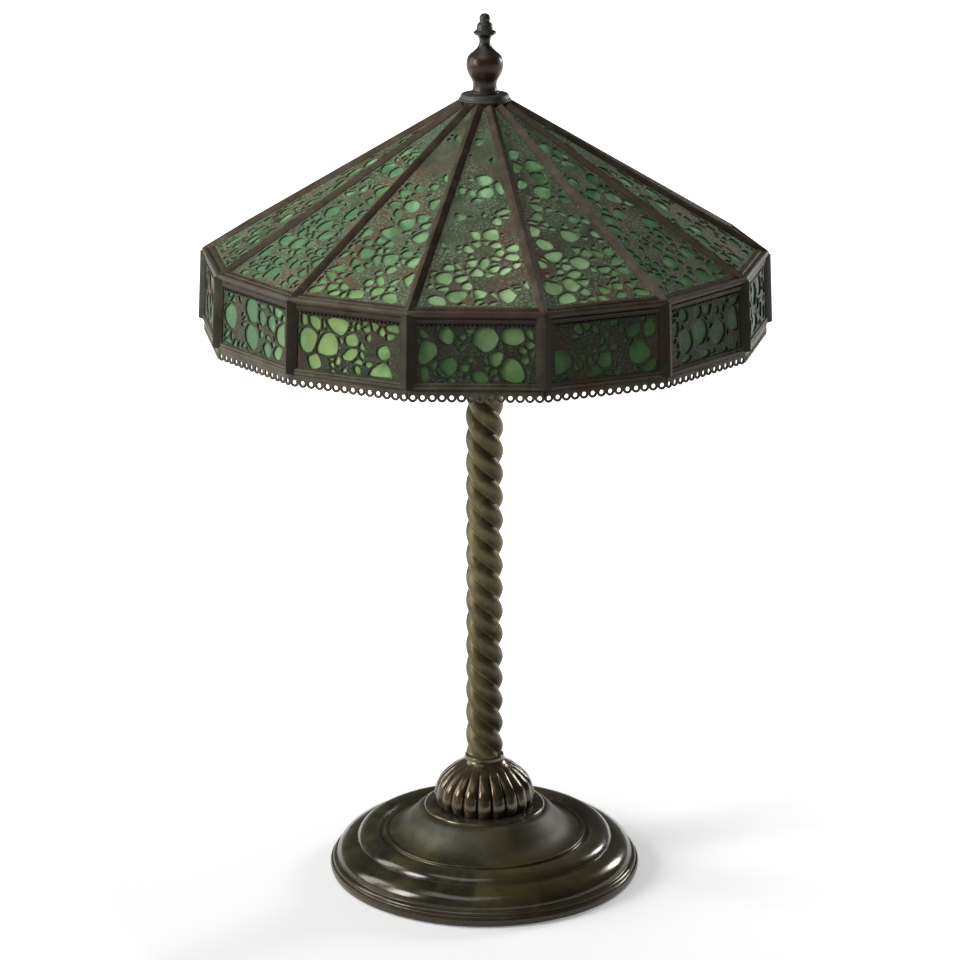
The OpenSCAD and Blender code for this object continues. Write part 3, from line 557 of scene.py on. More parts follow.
def drillInlet(piece, wide, start, end, height):
    # Flat seat and hole for the cord's bush, low at the back
    deselectAll()
    bpy.ops.mesh.primitive_cylinder_add(vertices=48, radius=wide / 2, depth=end - start,
                                        location=(0, (start + end) / 2, height), rotation=(math.pi / 2, 0, 0))
    drill = named("inletDrill")
    cut = piece.modifiers.new("inlet", "BOOLEAN")
    cut.operation = "DIFFERENCE"
    cut.solver = "EXACT"
    cut.object = drill
    applyModifiers(piece)
    bpy.data.objects.remove(drill)


def makeBase(shape):
    low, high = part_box("base_foot")
    rim, top, under = high.x, high.z, low.z
    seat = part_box("collar")[1].x
    bead = rim - shape["beadIn"]
    dish = bead - shape["beadHalf"]
    wall = rim - shape["wall"]
    pipe, weight, ceiling = shape["pipe"], shape["weight"], top - shape["top"]

    def at(inward, height):
        return (rim - inward, height)

    def dishAt(share, height):
        return (dish - share * (dish - seat), height)
    outside = [
        [at(0.0008, under)],
        [at(0.0003, 0.0034), at(0, 0.0052), at(0.0006, 0.0074)],
        [at(0.0021, 0.0081), at(0.0024, 0.0089)],
        [at(0.0021, 0.0098), at(0.0027, 0.0108), at(0.0038, 0.0115)],
        [at(0.0050, 0.0119), at(0.0053, 0.0125)],
        [at(0.0054, 0.0138), at(0.0070, 0.0172), at(0.0102, 0.0205), at(0.0147, 0.0230),
         at(0.0192, 0.0243)],
        [at(0.0206, 0.0245), at(0.0207, 0.0252)],
        [at(0.0222, 0.0273), at(0.0244, 0.0292), at(0.0275, 0.0305), at(0.0312, 0.0309),
         at(0.0350, 0.0302), at(0.0384, 0.0278)],
        [(bead + 0.0014, 0.0282), (bead + 0.0008, 0.0298), (bead - 0.0008, 0.0303),
         (bead - 0.0024, 0.0296)],
        [dishAt(0, 0.0294)],
        [dishAt(0.34, top - 0.0150), dishAt(0.70, top - 0.0054), dishAt(0.93, top - 0.0003),
         dishAt(1.08, top)],
        [(pipe, top)],
    ]
    inside = [
        [(pipe, ceiling)],
        [(weight, ceiling)],
        [(bead, 0.0220)],
        [(wall - 0.020, 0.0160), (wall - 0.008, 0.0095), (wall, 0.0050)],
        [(wall, under)],
        [at(0.005, under)],
    ]
    piece = turnedPiece("baseShell", outside + inside, shape["steps"])
    seatY = high.y - shape["seatDepth"]
    for wide, (start, end) in shape["drills"]:
        drillInlet(piece, wide, seatY + start, seatY + end, shape["inletZ"])
    return piece


collarShape = {
    "lobes": 20, "lobeSteps": 16, "lobeTop": 0.0380,
    "body": 0.0374, "ring": 0.0152, "pipe": 0.0052, "foot": 0.0030,
    # Grooves between the lobes: full depth, its share at the ring, and where they run out
    "depth": 0.0038, "ringDepth": 0.35, "grooveEnd": 0.93, "grooveFade": 0.22,
    "scallop": 0.0050, "scallopRise": 0.35, "scallopStart": 0.05,
}


def makeCollar(shape):
    low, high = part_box("collar")
    flange, ring, body, pipe = high.x, shape["ring"], shape["body"], shape["pipe"]
    foot = low.z + shape["foot"]

    def at(radius, height):
        return (radius, low.z + height)
    outline = [
        [at(flange, 0)],
        [at(flange, 0.0009), at(flange - 0.0008, 0.0022), (flange - 0.0024, foot)],
        [(body - 0.0019, foot)],
        [at(body - 0.0006, 0.0060), at(body, 0.0100), at(body - 0.0011, 0.0155),
         at(body - 0.0030, 0.0205), at(body - 0.0078, 0.0262), at(ring + 0.0088, 0.0312),
         at(ring + 0.0034, 0.0350), at(ring + 0.0008, 0.0372), at(ring - 0.0004, 0.0388)],
        [at(ring - 0.0007, 0.0402), at(ring - 0.0010, 0.0414), (ring - 0.0018, high.z)],
        [(0.0080, high.z)],
        [(pipe, high.z - 0.0060)],
        [at(pipe, 0)],
    ]
    piece = turnedPiece("gadroonCollar", outline, shape["lobes"] * shape["lobeSteps"])
    rise = low.z + shape["lobeTop"] - foot
    slack = 0.001
    for vertex in piece.data.vertices:
        radius = math.hypot(vertex.co.x, vertex.co.y)
        share = (vertex.co.z - foot) / rise
        if not (ring - slack <= radius <= body + slack and -0.01 <= share <= 1.0):
            continue
        turn = math.atan2(vertex.co.y, vertex.co.x) / (2 * math.pi) * shape["lobes"] + 0.5
        across = 2 * (turn - math.floor(turn)) - 1
        edge = 1 - math.sqrt(max(0.0, 1 - across * across))
        fade = min(1.0, max(0.0, (shape["grooveEnd"] - share) / shape["grooveFade"]))
        outward = (radius - ring) / (body - ring)
        inward = shape["depth"] * (shape["ringDepth"] + (1 - shape["ringDepth"]) * outward) * edge * fade
        vertex.co.x *= (radius - inward) / radius
        vertex.co.y *= (radius - inward) / radius
        lift = max(0.0, 1 - share / shape["scallopRise"]) ** 2 * min(1.0, share / shape["scallopStart"])
        vertex.co.z += shape["scallop"] * edge * lift
    return piece


ropeShape = {"strands": 3, "lead": 0.0525, "strandShare": 0.35, "around": 75, "rows": 320, "grooveZ": 0.254}


def makeRope(shape):
    low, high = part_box("stem_rope")
    radius = high.x
    centre = shape["strandShare"] * radius
    strand = radius - centre
    wedge = 2 * math.pi / shape["strands"]
    phase = 2 * math.pi * shape["grooveZ"] / shape["lead"]
    section = []
    for step in range(shape["around"]):
        angle = 2 * math.pi * step / shape["around"]
        away = (angle + wedge / 2) % wedge - wedge / 2
        reach = centre * math.cos(away) + math.sqrt(strand ** 2 - (centre * math.sin(away)) ** 2)
        section.append((reach * math.cos(angle + phase), reach * math.sin(angle + phase)))
    piece = sectionBar("ropeStem", section, high.z - low.z, start=low.z, rings=shape["rows"])
    twist = piece.modifiers.new("lay", "SIMPLE_DEFORM")
    twist.deform_method = "TWIST"
    twist.deform_axis = "Z"
    twist.angle = -2 * math.pi * (high.z - low.z) / shape["lead"]
    applyModifiers(piece)
    return piece


neckShape = {"pipe": 0.0052, "gap": 0.0002, "lip": 0.0140, "steps": 96}


def makeNeck(shape):
    low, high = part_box("neck_cup")
    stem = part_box("stem_rope")[1]
    ring, pipe, lip = high.x, shape["pipe"], shape["lip"]
    hole = stem.x + shape["gap"]
    outline = [
        [(ring - 0.0006, low.z)],
        [(ring, low.z + 0.0008), (ring, stem.z), (ring - 0.0015, stem.z + 0.0030),
         (pipe + 0.0040, stem.z + 0.0165), (lip - 0.0002, high.z - 0.0030), (lip, high.z)],
        [(pipe, high.z)],
        [(pipe, stem.z)],
        [(hole, stem.z)],
        [(hole, low.z)],
    ]
    return turnedPiece("neckCup", outline, shape["steps"])


dress(makeBase(baseShape), "base", darkBronze, ["base_foot"])
dress(makeCollar(collarShape), "base", collarBronze, ["collar"], angle=50)
dress(makeRope(ropeShape), "base", oliveBronze, ["stem_rope"], angle=60)
dress(makeNeck(neckShape), "base", oliveBronze, ["neck_cup"])
print("lamp: base, collar and stem made")


# Finial and crown
finialShape = {"bore": 0.0052, "boreDepth": 0.024, "steps": 96}


def makeFinial(shape):
    low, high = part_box("finial")
    tall = high.z - low.z
    wide = high.x
    bore = shape["bore"]
    boreTop = low.z + shape["boreDepth"]

    def at(inward, share):
        return (wide - inward, low.z + share * tall)
    outline = [
        [at(0.0030, 0)],
        [at(0.0027, 0.010), at(0.0030, 0.026), at(0.0041, 0.038)],
        [at(0.0044, 0.062), at(0.0046, 0.105), at(0.0040, 0.160), at(0.0020, 0.225),
         at(0.0006, 0.285), at(0, 0.355), at(0.0004, 0.420), at(0.0018, 0.475), at(0.0052, 0.530),
         at(0.0078, 0.580), at(0.0090, 0.640), at(0.0086, 0.690), at(0.0076, 0.718)],
        [at(0.0062, 0.732), at(0.0051, 0.748), at(0.0050, 0.764), at(0.0060, 0.780)],
        [at(0.0070, 0.795), at(0.0073, 0.830), at(0.0077, 0.862), at(0.0090, 0.888)],
        [at(0.0093, 0.905), at(0.0090, 0.935), at(0.0095, 0.965), at(0.0108, 0.990),
         (0, high.z)],
        [(0, boreTop)],
        [(bore, boreTop)],
        [(bore, low.z)],
    ]
    return turnedPiece("finialKnob", outline, shape["steps"])


crownShape = {"hub": 0.0145, "hubRise": 0.0022, "bore": 0.0054, "lipZ": 0.5792, "steps": 112}


def makeCrown(shape):
    low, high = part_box("crown")
    lip, edge, hub, bore = high.x, shape["lipZ"], shape["hub"], shape["bore"]
    hubTop = edge + shape["hubRise"]
    outline = [
        [(hub, low.z)],
        [(hub, hubTop)],
        [(lip - 0.0004, edge)],
        [(lip, edge + 0.0004), (lip - 0.0001, edge + 0.0011),
         (lip - 0.0008, edge + 0.0018)],
        [(lip - 0.0012, edge + 0.0028), (lip - 0.0017, high.z - 0.0010),
         (lip - 0.0022, high.z - 0.0003), (lip - 0.0032, high.z)],
        [(bore, high.z)],
        [(bore, low.z)],
    ]
    return turnedPiece("shadeCrown", outline, shape["steps"])


dress(makeFinial(finialShape), "finial", warmBronze, ["finial"])
dress(makeCrown(crownShape), "shade", crownBronze, ["crown"])
print("lamp: finial and crown made")


# Shade: lines of its fourteen panels
shade = {
    "panels": 14, "turn": math.radians(-91.74),
    "eaveRadius": 0.1986, "eaveZ": 0.471, "crownRadius": 0.0145, "hipTopZ": 0.5784, "hipEndRadius": 0.0177,
    "skirtRadius": 0.2012, "skirtZ": 0.421,
    "sheet": 0.0012, "glass": 0.003, "sideGap": 0.0017,
}
halfAngle = math.pi / shade["panels"]
eaveFlat = shade["eaveRadius"] * math.cos(halfAngle)
crownFlat = shade["crownRadius"] * math.cos(halfAngle)
skirtFlat = shade["skirtRadius"] * math.cos(halfAngle)
coneRise = shade["hipTopZ"] - shade["eaveZ"]
skirtDrop = shade["eaveZ"] - shade["skirtZ"]
coneSlope = math.atan2(coneRise, eaveFlat - crownFlat)
hipSlope = math.atan2(coneRise, shade["eaveRadius"] - shade["crownRadius"])
skirtSlope = math.atan2(skirtDrop, skirtFlat - eaveFlat)
postSlope = math.atan2(skirtDrop, shade["skirtRadius"] - shade["eaveRadius"])
postLength = math.hypot(shade["skirtRadius"] - shade["eaveRadius"], skirtDrop)
skirtLength = math.hypot(skirtFlat - eaveFlat, skirtDrop)
paneDepth = shade["sheet"] + shade["glass"]


def cornerFall(face, corner):
    # Fall of a panel's plane to each side of the corner line, seen along that line
    across = math.sin(face) * math.sin(halfAngle)
    along = math.sin(face) * math.cos(halfAngle) * math.sin(corner) + math.cos(face) * math.cos(corner)
    return math.atan2(across, along)


def panelTurn(index):
    return Matrix.Rotation(shade["turn"] + 2 * halfAngle * index, 4, "Z")


def faceMatrix(index, radius, height, slope):
    # x along the panel's edge, y up its face, z outwards
    foot = panelTurn(index) @ Matrix.Translation((radius, 0, height))
    return foot @ Matrix.Rotation(slope, 4, "Y") @ Matrix.Rotation(math.pi / 2, 4, "Z")


def cornerMatrix(index, radius, height, slope):
    # z up the corner line, x sideways, y outwards
    foot = panelTurn(index + 0.5) @ Matrix.Translation((radius, 0, height))
    return foot @ Matrix.Rotation(slope - math.pi / 2, 4, "Y") @ Matrix.Rotation(-math.pi / 2, 4, "Z")


def onEachPanel(place, *values):
    return [place(index, *values) for index in range(shade["panels"])]


coneFaces = onEachPanel(faceMatrix, eaveFlat, shade["eaveZ"], coneSlope)
skirtFaces = onEachPanel(faceMatrix, skirtFlat, shade["skirtZ"], skirtSlope)
hipLines = onEachPanel(cornerMatrix, shade["eaveRadius"], shade["eaveZ"], hipSlope)
postLines = onEachPanel(cornerMatrix, shade["skirtRadius"], shade["skirtZ"], postSlope)


def coneHalf(up, gap):
    lean = math.atan(math.cos(coneSlope) * math.tan(halfAngle))
    return (eaveFlat - up * math.cos(coneSlope)) * math.tan(halfAngle) - gap / math.cos(lean)


def skirtHalf(up, gap):
    return (skirtFlat - up * math.cos(skirtSlope)) * math.tan(halfAngle) - gap


# Cames and rails
cameShape = {
    "hipWidth": 0.0072, "hipCap": 0.0030, "postWidth": 0.0112, "postCap": 0.0040,
    "web": 0.0018, "lip": 0.0012, "flangeShare": 0.8, "paneGap": 0.00015, "endGap": 0.0005,
    "points": 6, "ridgeFall": 0.86, "ridgeCurve": 1.1,
}


def cameSection(width, cap, fall, shape):
    # Ridged cap over two panels, web between them and a flat flange inside
    half = width / 2
    flange = shape["flangeShare"] * half
    slack = shape["paneGap"] + paneDepth / math.cos(fall)
    right = [(0, cap)]
    for point in range(1, shape["points"] + 1):
        share = point / shape["points"]
        ridge = cap * (1 - shape["ridgeFall"] * share ** shape["ridgeCurve"])
        right.append((half * share, ridge - half * share * math.tan(fall) * share))
    web = shape["web"] / 2
    right += [
        (half, -half * math.tan(fall)), (web, -web * math.tan(fall)), (web, -slack - web * math.tan(fall)),
        (flange, -slack - flange * math.tan(fall)), (flange, -slack - shape["lip"] - flange * math.tan(fall)),
        (0, -slack - shape["lip"]),
    ]
    return right + [(-x, y) for x, y in right[-2:0:-1]]


def makeCames(shape):
    hipFall = cornerFall(coneSlope, hipSlope)
    postFall = cornerFall(skirtSlope, postSlope)
    gap = shape["endGap"]
    hipReach = (shade["eaveRadius"] - shade["hipEndRadius"]) / math.cos(hipSlope)
    section = cameSection(shape["hipWidth"], shape["hipCap"], hipFall, shape)
    hip = sectionBar("hipCame", section, hipReach - gap, start=gap)
    hips = joinAll(copyTo(hip, hipLines), "hipCames")
    section = cameSection(shape["postWidth"], shape["postCap"], postFall, shape)
    post = sectionBar("cornerPost", section, postLength - 2 * gap, start=gap)
    posts = joinAll(copyTo(post, postLines), "cornerPosts")
    return hips, posts


mitre = {"spare": 0.02, "gap": 0.00005}


def railBar(name, section, radius, height):
    # A straight rail along one panel's edge, cut on the mitre at both ends
    long = radius * math.tan(halfAngle) + mitre["spare"]
    piece = sectionBar(name, section, 2 * long, start=-long)
    placeAt(piece, Matrix.Translation((radius, 0, height)) @ Matrix.Rotation(math.pi / 2, 4, "X"))
    bpy.ops.object.mode_set(mode="EDIT")
    for side in (-1, 1):
        bpy.ops.mesh.select_all(action="SELECT")
        bpy.ops.mesh.bisect(
            plane_co=(mitre["gap"] / math.sin(halfAngle), 0, 0),
            plane_no=(-math.sin(halfAngle), side * math.cos(halfAngle), 0),
            use_fill=True, clear_outer=True)
    bpy.ops.object.mode_set(mode="OBJECT")
    tidyMesh(piece, 1e-7)
    return piece


# The eaves rail's points are pairs: along a panel from the corner, and out from it
eavesShape = {
    "strip": [(0.0060, 0.0), (0.0060, 0.0009), (0.0034, 0.0013), (0.0026, 0.0006)],
    "nose": 0.0023, "noseOut": 0.0006, "noseSteps": 8, "noseTrim": 0.5,
    "web": 0.0012, "flange": 0.0048, "deep": 0.0050, "lip": 0.0012, "ridge": 1.1,
}
# The bottom rail's front is pairs too: a share of the cap's depth, and up from the foot
bottomShape = {
    "front": [(0.6, 0.0), (1, 0.0006), (1, 0.0020), (0.6, 0.0026), (0.9, 0.0032), (0.8, 0.0040),
              (0.3, 0.0046)],
    "cap": 0.0016, "tall": 0.0046, "seat": 0.0018, "slot": 0.0044, "back": 0.0056,
}
coneOut = Vector((math.sin(coneSlope), math.cos(coneSlope)))
coneUp = Vector((-math.cos(coneSlope), math.sin(coneSlope)))
skirtOut = Vector((math.sin(skirtSlope), math.cos(skirtSlope)))
skirtUp = Vector((-math.cos(skirtSlope), math.sin(skirtSlope)))


def makeEavesRails(shape):
    inward = -(coneOut + skirtOut).normalized()
    deep = shape["deep"] * inward

    def outer(along, out):
        return [far * along + proud * out for far, proud in shape["strip"]]

    def inner(along, out):
        flange = shape["flange"] * along + deep
        return [shape["web"] * along, shape["web"] * along + deep, flange, flange - shape["lip"] * out]
    first = math.atan2(coneOut.y, coneOut.x) + shape["noseTrim"]
    last = math.atan2(skirtOut.y, skirtOut.x) - shape["noseTrim"]
    section = outer(coneUp, coneOut)
    for step in range(shape["noseSteps"] + 1):
        angle = first + (last - first) * step / shape["noseSteps"]
        nose = shape["nose"] * Vector((math.cos(angle), math.sin(angle)))
        section.append(nose - shape["noseOut"] * inward)
    section += reversed(outer(-skirtUp, skirtOut))
    section += inner(-skirtUp, skirtOut)
    section.append(deep + shape["lip"] * shape["ridge"] * inward)
    section += reversed(inner(coneUp, coneOut))
    rail = railBar("eavesRail", section, eaveFlat, shade["eaveZ"])
    return joinAll(copyTo(rail, onEachPanel(panelTurn)), "eavesRails")


def makeBottomRails(shape):
    section = [shape["cap"] * share * skirtOut + up * skirtUp for share, up in shape["front"]]
    top, seat = shape["tall"] * skirtUp, shape["seat"] * skirtUp
    slot, back = shape["slot"] * skirtOut, shape["back"] * skirtOut
    section += [top, seat, seat - slot, top - slot, top - back, -back]
    rail = railBar("bottomRail", section, skirtFlat, shade["skirtZ"])
    return joinAll(copyTo(rail, onEachPanel(panelTurn)), "bottomRails")


beadShape = {"pitch": 0.0030, "radius": 0.00105, "drop": 0.0072, "proud": 0.0004, "stretch": (1.25, 1, 0.9)}


def makeBeads(shape):
    # A row of fine beads under the eaves, one bead modelled and repeated by an array
    rowY = skirtLength - shape["drop"]
    half = skirtHalf(rowY, cameShape["postWidth"] / 2)
    count = int(2 * half / shape["pitch"])
    deselectAll()
    bpy.ops.mesh.primitive_uv_sphere_add(segments=8, ring_count=6, radius=shape["radius"])
    bead = named("eavesBead")
    bead.location = (-(count - 1) / 2 * shape["pitch"], rowY, shape["proud"])
    bead.scale = shape["stretch"]
    bpy.ops.object.transform_apply(location=True, rotation=True, scale=True)
    row = bead.modifiers.new("row", "ARRAY")
    row.use_relative_offset = False
    row.use_constant_offset = True
    row.constant_offset_displace = (shape["pitch"], 0, 0)
    row.count = count
    applyModifiers(bead)
    return joinAll(copyTo(bead, skirtFaces), "eavesBeads")


loopShape = {
    "loops": 14, "bore": 0.0029, "neck": 0.0020, "thick": 0.0016, "edge": 0.0006, "end": 0.00005,
    "overlap": 0.00012, "notch": 0.0006, "ringSteps": 9, "boreSteps": 14,
}


def makeLoopBorder(shape):
    half = skirtFlat * math.tan(halfAngle) - shape["end"]
    pitch = 2 * half / shape["loops"]
    ring = pitch / 2 + shape["overlap"]
    centre = -ring - shape["neck"]
    bore = shape["bore"] / 2
    outline = [(half, 0.0), (-half, 0.0), (-half, centre)]
    openings = []
    for loop in range(shape["loops"]):
        middle = (loop + 0.5) * pitch - half
        for step in range(1, shape["ringSteps"]):
            angle = math.pi * (1 + step / shape["ringSteps"])
            outline.append((middle + ring * math.cos(angle), centre + ring * math.sin(angle)))
        if loop < shape["loops"] - 1:
            outline.append((middle + pitch / 2, centre - shape["notch"]))
        angles = [2 * math.pi * step / shape["boreSteps"] for step in range(shape["boreSteps"])]
        openings.append([(middle + bore * math.cos(angle), centre + bore * math.sin(angle))
                         for angle in angles])
    outline.append((half, centre))
    strip = piercedSheet("loopStrip", outline, openings, shape["thick"], shape["edge"], edgeSteps=1)
    shift = Matrix.Translation((0, 0, -shape["thick"] / 2))
    return joinAll(copyTo(strip, [matrix @ shift for matrix in skirtFaces]), "loopBorder")


hipCames, cornerPosts = makeCames(cameShape)
eavesRails = makeEavesRails(eavesShape)
bottomRails = makeBottomRails(bottomShape)
dress(hipCames, "shade", railBronze, ["hip_cames"], angle=40)
dress(cornerPosts, "shade", shadedPostBronze, ["corner_posts"], angle=40)
dress(eavesRails, "shade", railBronze, ["eaves_rails"], angle=40)
dress(bottomRails, "shade", cameBronze, ["bottom_rails"], angle=40)
dress(makeBeads(beadShape), "shade", railBronze)
dress(makeLoopBorder(loopShape), "shade", cameBronze, ["loop_border"], angle=50)
print("lamp: cames, rails and border made")


# Pierced sheets: pebbles of three sizes in a fine net
def clipped(outline, normal, limit):
    kept = []
    for here, there in zip(outline, outline[1:] + outline[:1]):
        hereOver = here.dot(normal) - limit
        thereOver = there.dot(normal) - limit
        if hereOver <= 0:
            kept.append(here)
        if (hereOver < 0) != (thereOver < 0):
            kept.append(here.lerp(there, hereOver / (hereOver - thereOver)))
    return kept


def softened(outline):
    # Each corner cut at a quarter of its edges
    pairs = zip(outline, outline[1:] + outline[:1])
    return [spot for here, there in pairs for spot in (here.lerp(there, 0.25), here.lerp(there, 0.75))]


def swayed(outline, sway, length, start):
    # A slow wave through the sheet, so that no pebble stays a plain round
    turn = 2 * math.pi / length
    leanX, leanY = 0.35, -0.3
    return [spot + sway * Vector((math.sin(turn * (spot.y + leanX * spot.x) + start[0]),
                                  math.sin(turn * (spot.x + leanY * spot.y) + start[1]))) for spot in outline]


def scattered(net, halfAt, low, high, dice):
    # Big pebbles first, then smaller ones in the room that is left
    seeds = []
    for radius, tries in net["sizes"]:
        for attempt in range(tries):
            y = dice.uniform(low, high)
            half = halfAt(y)
            spot = Vector((dice.uniform(-half, half), y))
            if all((spot - other).length > net["packing"] * (radius + reach) for other, reach in seeds):
                seeds.append((spot, radius))
    return seeds


def pebbles(net, halfAt, low, high, dice):
    seeds = scattered(net, halfAt, low, high, dice)
    window = [Vector((-halfAt(low), low)), Vector((halfAt(low), low)), Vector((halfAt(high), high)),
              Vector((-halfAt(high), high))]
    openings = []
    for own, (spot, radius) in enumerate(seeds):
        kind = [size for size, tries in net["sizes"]].index(radius)
        share = (spot.y - low) / (high - low)
        least, most = net["closedLow"][kind], net["closedHigh"][kind]
        closed = least + (most - least) * share ** net["closedCurve"]
        if dice.random() < closed:
            continue
        web = net["webs"][kind]
        outline = window
        for index, (other, reach) in enumerate(seeds):
            apart = other - spot
            far = apart.length
            if index == own or far > net["farthest"] * (radius + reach):
                continue
            limit = (other.length_squared - spot.length_squared - reach ** 2 + radius ** 2) / (2 * far)
            outline = clipped(outline, apart / far, limit - web / 2)
            if len(outline) < 3:
                break
        if len(outline) < 3:
            continue
        area = sum(a.x * b.y - b.x * a.y for a, b in zip(outline, outline[1:] + outline[:1])) / 2
        if area > net["leastArea"]:
            openings.append(softened(outline))
    start = dice.uniform(0, 2 * math.pi), dice.uniform(0, 2 * math.pi)
    return [swayed(outline, net["sway"], net["swayLength"], start) for outline in openings]


netLook = {
    "webs": (0.0018, 0.0016, 0.0014), "packing": 0.8, "farthest": 4, "leastArea": 2.2e-6, "edge": 0.00034,
    "closedCurve": 1.5,
}
coneNet = {
    **netLook, "sizes": [(0.0068, 26), (0.0043, 90), (0.0025, 1000)],
    "closedLow": (0.04, 0.1, 0.5), "closedHigh": (0.35, 0.5, 0.88),
    "margin": 0.0056, "sway": 0.0007, "swayLength": 0.018, "seed": 41,
    "low": 0.0035, "high": 0.2058, "openLow": 0.0086, "openHigh": 0.176,
}
skirtNet = {
    **netLook, "sizes": [(0.0090, 6), (0.0058, 18), (0.0026, 600)],
    "closedLow": (0.0, 0.08, 0.5), "closedHigh": (0.0, 0.1, 0.55),
    "margin": 0.0072, "sway": 0.0009, "swayLength": 0.023, "seed": 97,
    "low": 0.0020, "high": skirtLength - 0.0036, "openLow": 0.0056, "openHigh": skirtLength - 0.0088,
}


def makeSheets(name, net, faces, halfAt):
    low, high, gap = net["low"], net["high"], shade["sideGap"]

    def inside(y):
        return halfAt(y, net["margin"])
    outline = [(-halfAt(low, gap), low), (halfAt(low, gap), low),
               (halfAt(high, gap), high), (-halfAt(high, gap), high)]
    sheets = []
    for index, matrix in enumerate(faces):
        dice = random.Random(net["seed"] + index)
        openings = pebbles(net, inside, net["openLow"], net["openHigh"], dice)
        sheet = piercedSheet("sheet", outline, openings, shade["sheet"], net["edge"])
        placeAt(sheet, matrix @ Matrix.Translation((0, 0, -shade["sheet"] / 2)))
        sheets.append(sheet)
    return joinAll(sheets, name)


coneSheets = makeSheets("coneSheets", coneNet, coneFaces, coneHalf)
dress(coneSheets, "shade", sheetBronze, ["cone_sheets"], angle=30)
skirtSheets = makeSheets("skirtSheets", skirtNet, skirtFaces, skirtHalf)
dress(skirtSheets, "shade", shadedSkirtBronze, ["skirt_sheets"], angle=30)
sheetFaces = len(coneSheets.data.polygons), len(skirtSheets.data.polygons)
print("lamp: pierced sheets made,", sheetFaces[0], "and", sheetFaces[1], "faces")


# Finishes of the pieces that keep their own solids
carried = {
    "felt_pad": greenFelt, "base_weight": castIron, "base_washer": zincSteel, "base_nut": zincSteel,
    "inlet_bush": blackBush, "stem_pipe": zincSteel, "wire_leads": leadCover, "cluster_body": oliveBronze,
    "socket_nipples": zincSteel, "riser_pipe": zincSteel, "rest_nut": zincSteel, "shade_rest": oliveBronze,
    "skirt_glasses": greenGlass,
}
for index in range(1, shade["panels"] + 1):
    carried[f"cone_glass_{index}"] = greenGlass
for index in (1, 2, 3):
    carried[f"socket_liner_{index}"] = glazedLiner
    carried[f"bulb_glass_{index}"] = frostedBulb
    for part in ("socket_cap", "socket_shell", "socket_key", "bulb_base"):
        carried[f"{part}_{index}"] = satinBrass
for node, finish in carried.items():
    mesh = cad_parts[node].data
    mesh.materials.clear()
    mesh.materials.append(finish)
print("lamp: solids finished")


# Floor and light
studio = {
    "floor": 40, "floorColour": 0.9, "floorBounce": 0.12, "floorRoughness": 0.9,
    "whiteSlope": (0.74, 0.67, 0.0), "whiteFront": 0.085, "whiteBack": 0.47,
    "slopeFrom": -0.24, "slopeTo": 0.20, "whiteFar": 0.95, "farFrom": 0.28, "farTo": 0.56,
    "horizon": 0.28, "zenith": 0.10, "zenithFrom": 0.24, "rightShare": 0.6, "sideFrom": -0.3, "sideTo": 0.5,
    "lights": [
        ("keyLeft", (-1.70, -0.66, 1.07), (0.55, 0.85), 27),
        ("topSoft", (-0.50, -0.55, 2.35), (1.5, 1.5), 16),
        ("rimLeft", (-1.78, 0.36, 0.98), (0.5, 1.2), 13),
        ("rimRight", (1.32, 1.10, 0.80), (0.3, 0.45), 12),
    ],
    "aim": (0, 0, 0.26),
}


def seenRays(tree):
    # One for camera, glossy and transmission rays, so that metal and glass show the same white
    path = tree.nodes.new("ShaderNodeLightPath")
    total = path.outputs["Is Camera Ray"]
    for name in ("Is Glossy Ray", "Is Transmission Ray"):
        total = mathNode(tree, "MAXIMUM", total, path.outputs[name])
    return total


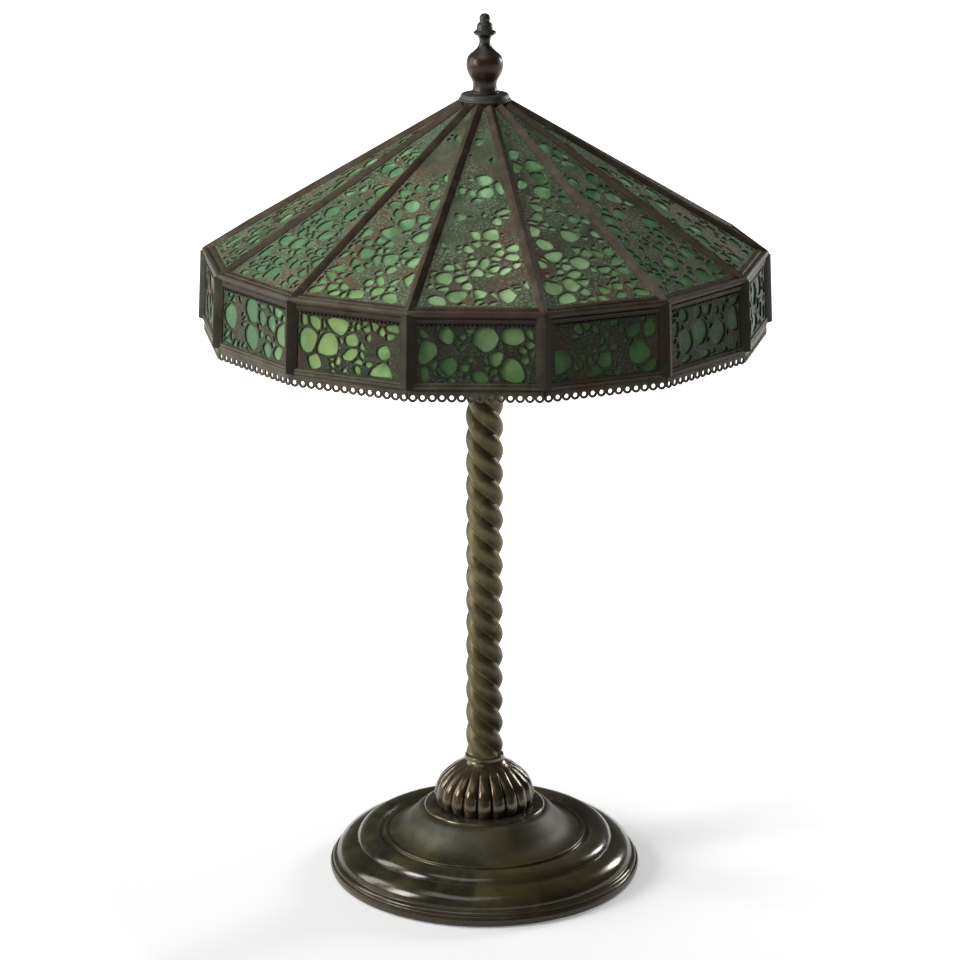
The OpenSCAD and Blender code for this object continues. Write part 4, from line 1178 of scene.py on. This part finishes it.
def makeFloor(setup):
    deselectAll()
    bpy.ops.mesh.primitive_plane_add(size=setup["floor"])
    floor = named("paleFloor")
    material, tree, shader = newMaterial("paleFloor")
    seen = seenRays(tree)
    colour = spread(tree, seen, setup["floorBounce"], setup["floorColour"], 0, 1)
    tree.links.new(colour, shader.inputs["Base Color"])
    shader.inputs["Roughness"].default_value = setup["floorRoughness"]
    shader.inputs["Specular IOR Level"].default_value = 0.0
    # The white share evens out the lamps on the floor: least at the left front, all of it far away
    place = objectPlace(tree)
    across = vectorMath(tree, "DOT_PRODUCT", place, setup["whiteSlope"])
    slope = spread(tree, across, setup["whiteFront"], setup["whiteBack"],
                   setup["slopeFrom"], setup["slopeTo"])
    away = vectorMath(tree, "LENGTH", place)
    far = spread(tree, away, 0.0, setup["whiteFar"], setup["farFrom"], setup["farTo"])
    white = tree.nodes.new("ShaderNodeEmission")
    strength = mathNode(tree, "MULTIPLY", seen, mathNode(tree, "ADD", slope, far))
    tree.links.new(strength, white.inputs["Strength"])
    both = tree.nodes.new("ShaderNodeAddShader")
    tree.links.new(shader.outputs["BSDF"], both.inputs[0])
    tree.links.new(white.outputs["Emission"], both.inputs[1])
    tree.links.new(both.outputs["Shader"], tree.nodes["Material Output"].inputs["Surface"])
    floor.data.materials.append(material)


def makeRoom(setup):
    world = bpy.data.worlds.new("whiteRoom")
    world.use_nodes = True
    bpy.context.scene.world = world
    tree = world.node_tree
    light = tree.nodes["Background"]
    light.inputs["Color"].default_value = (1, 1, 1, 1)
    way = tree.nodes.new("ShaderNodeSeparateXYZ")
    tree.links.new(tree.nodes.new("ShaderNodeTexCoord").outputs["Generated"], way.inputs[0])
    height = spread(tree, way.outputs["Z"], setup["horizon"], setup["zenith"], 0.0, setup["zenithFrom"])
    side = spread(tree, way.outputs["X"], 1.0, setup["rightShare"], setup["sideFrom"], setup["sideTo"])
    tree.links.new(mathNode(tree, "MULTIPLY", height, side), light.inputs["Strength"])


def makeLights(setup):
    for name, place, size, power in setup["lights"]:
        bpy.ops.object.light_add(type="AREA", location=place)
        lamp = bpy.context.active_object
        lamp.name = name
        lamp.data.shape = "RECTANGLE"
        lamp.data.size, lamp.data.size_y = size
        lamp.data.energy = power
        lamp.rotation_euler = (Vector(setup["aim"]) - Vector(place)).to_track_quat("-Z", "Y").to_euler()


makeFloor(studio)
makeRoom(studio)
makeLights(studio)
makeCamera(cameraSetup)
bpy.context.scene.view_settings.view_transform = "Standard"
print("lamp: stage, light and camera set")
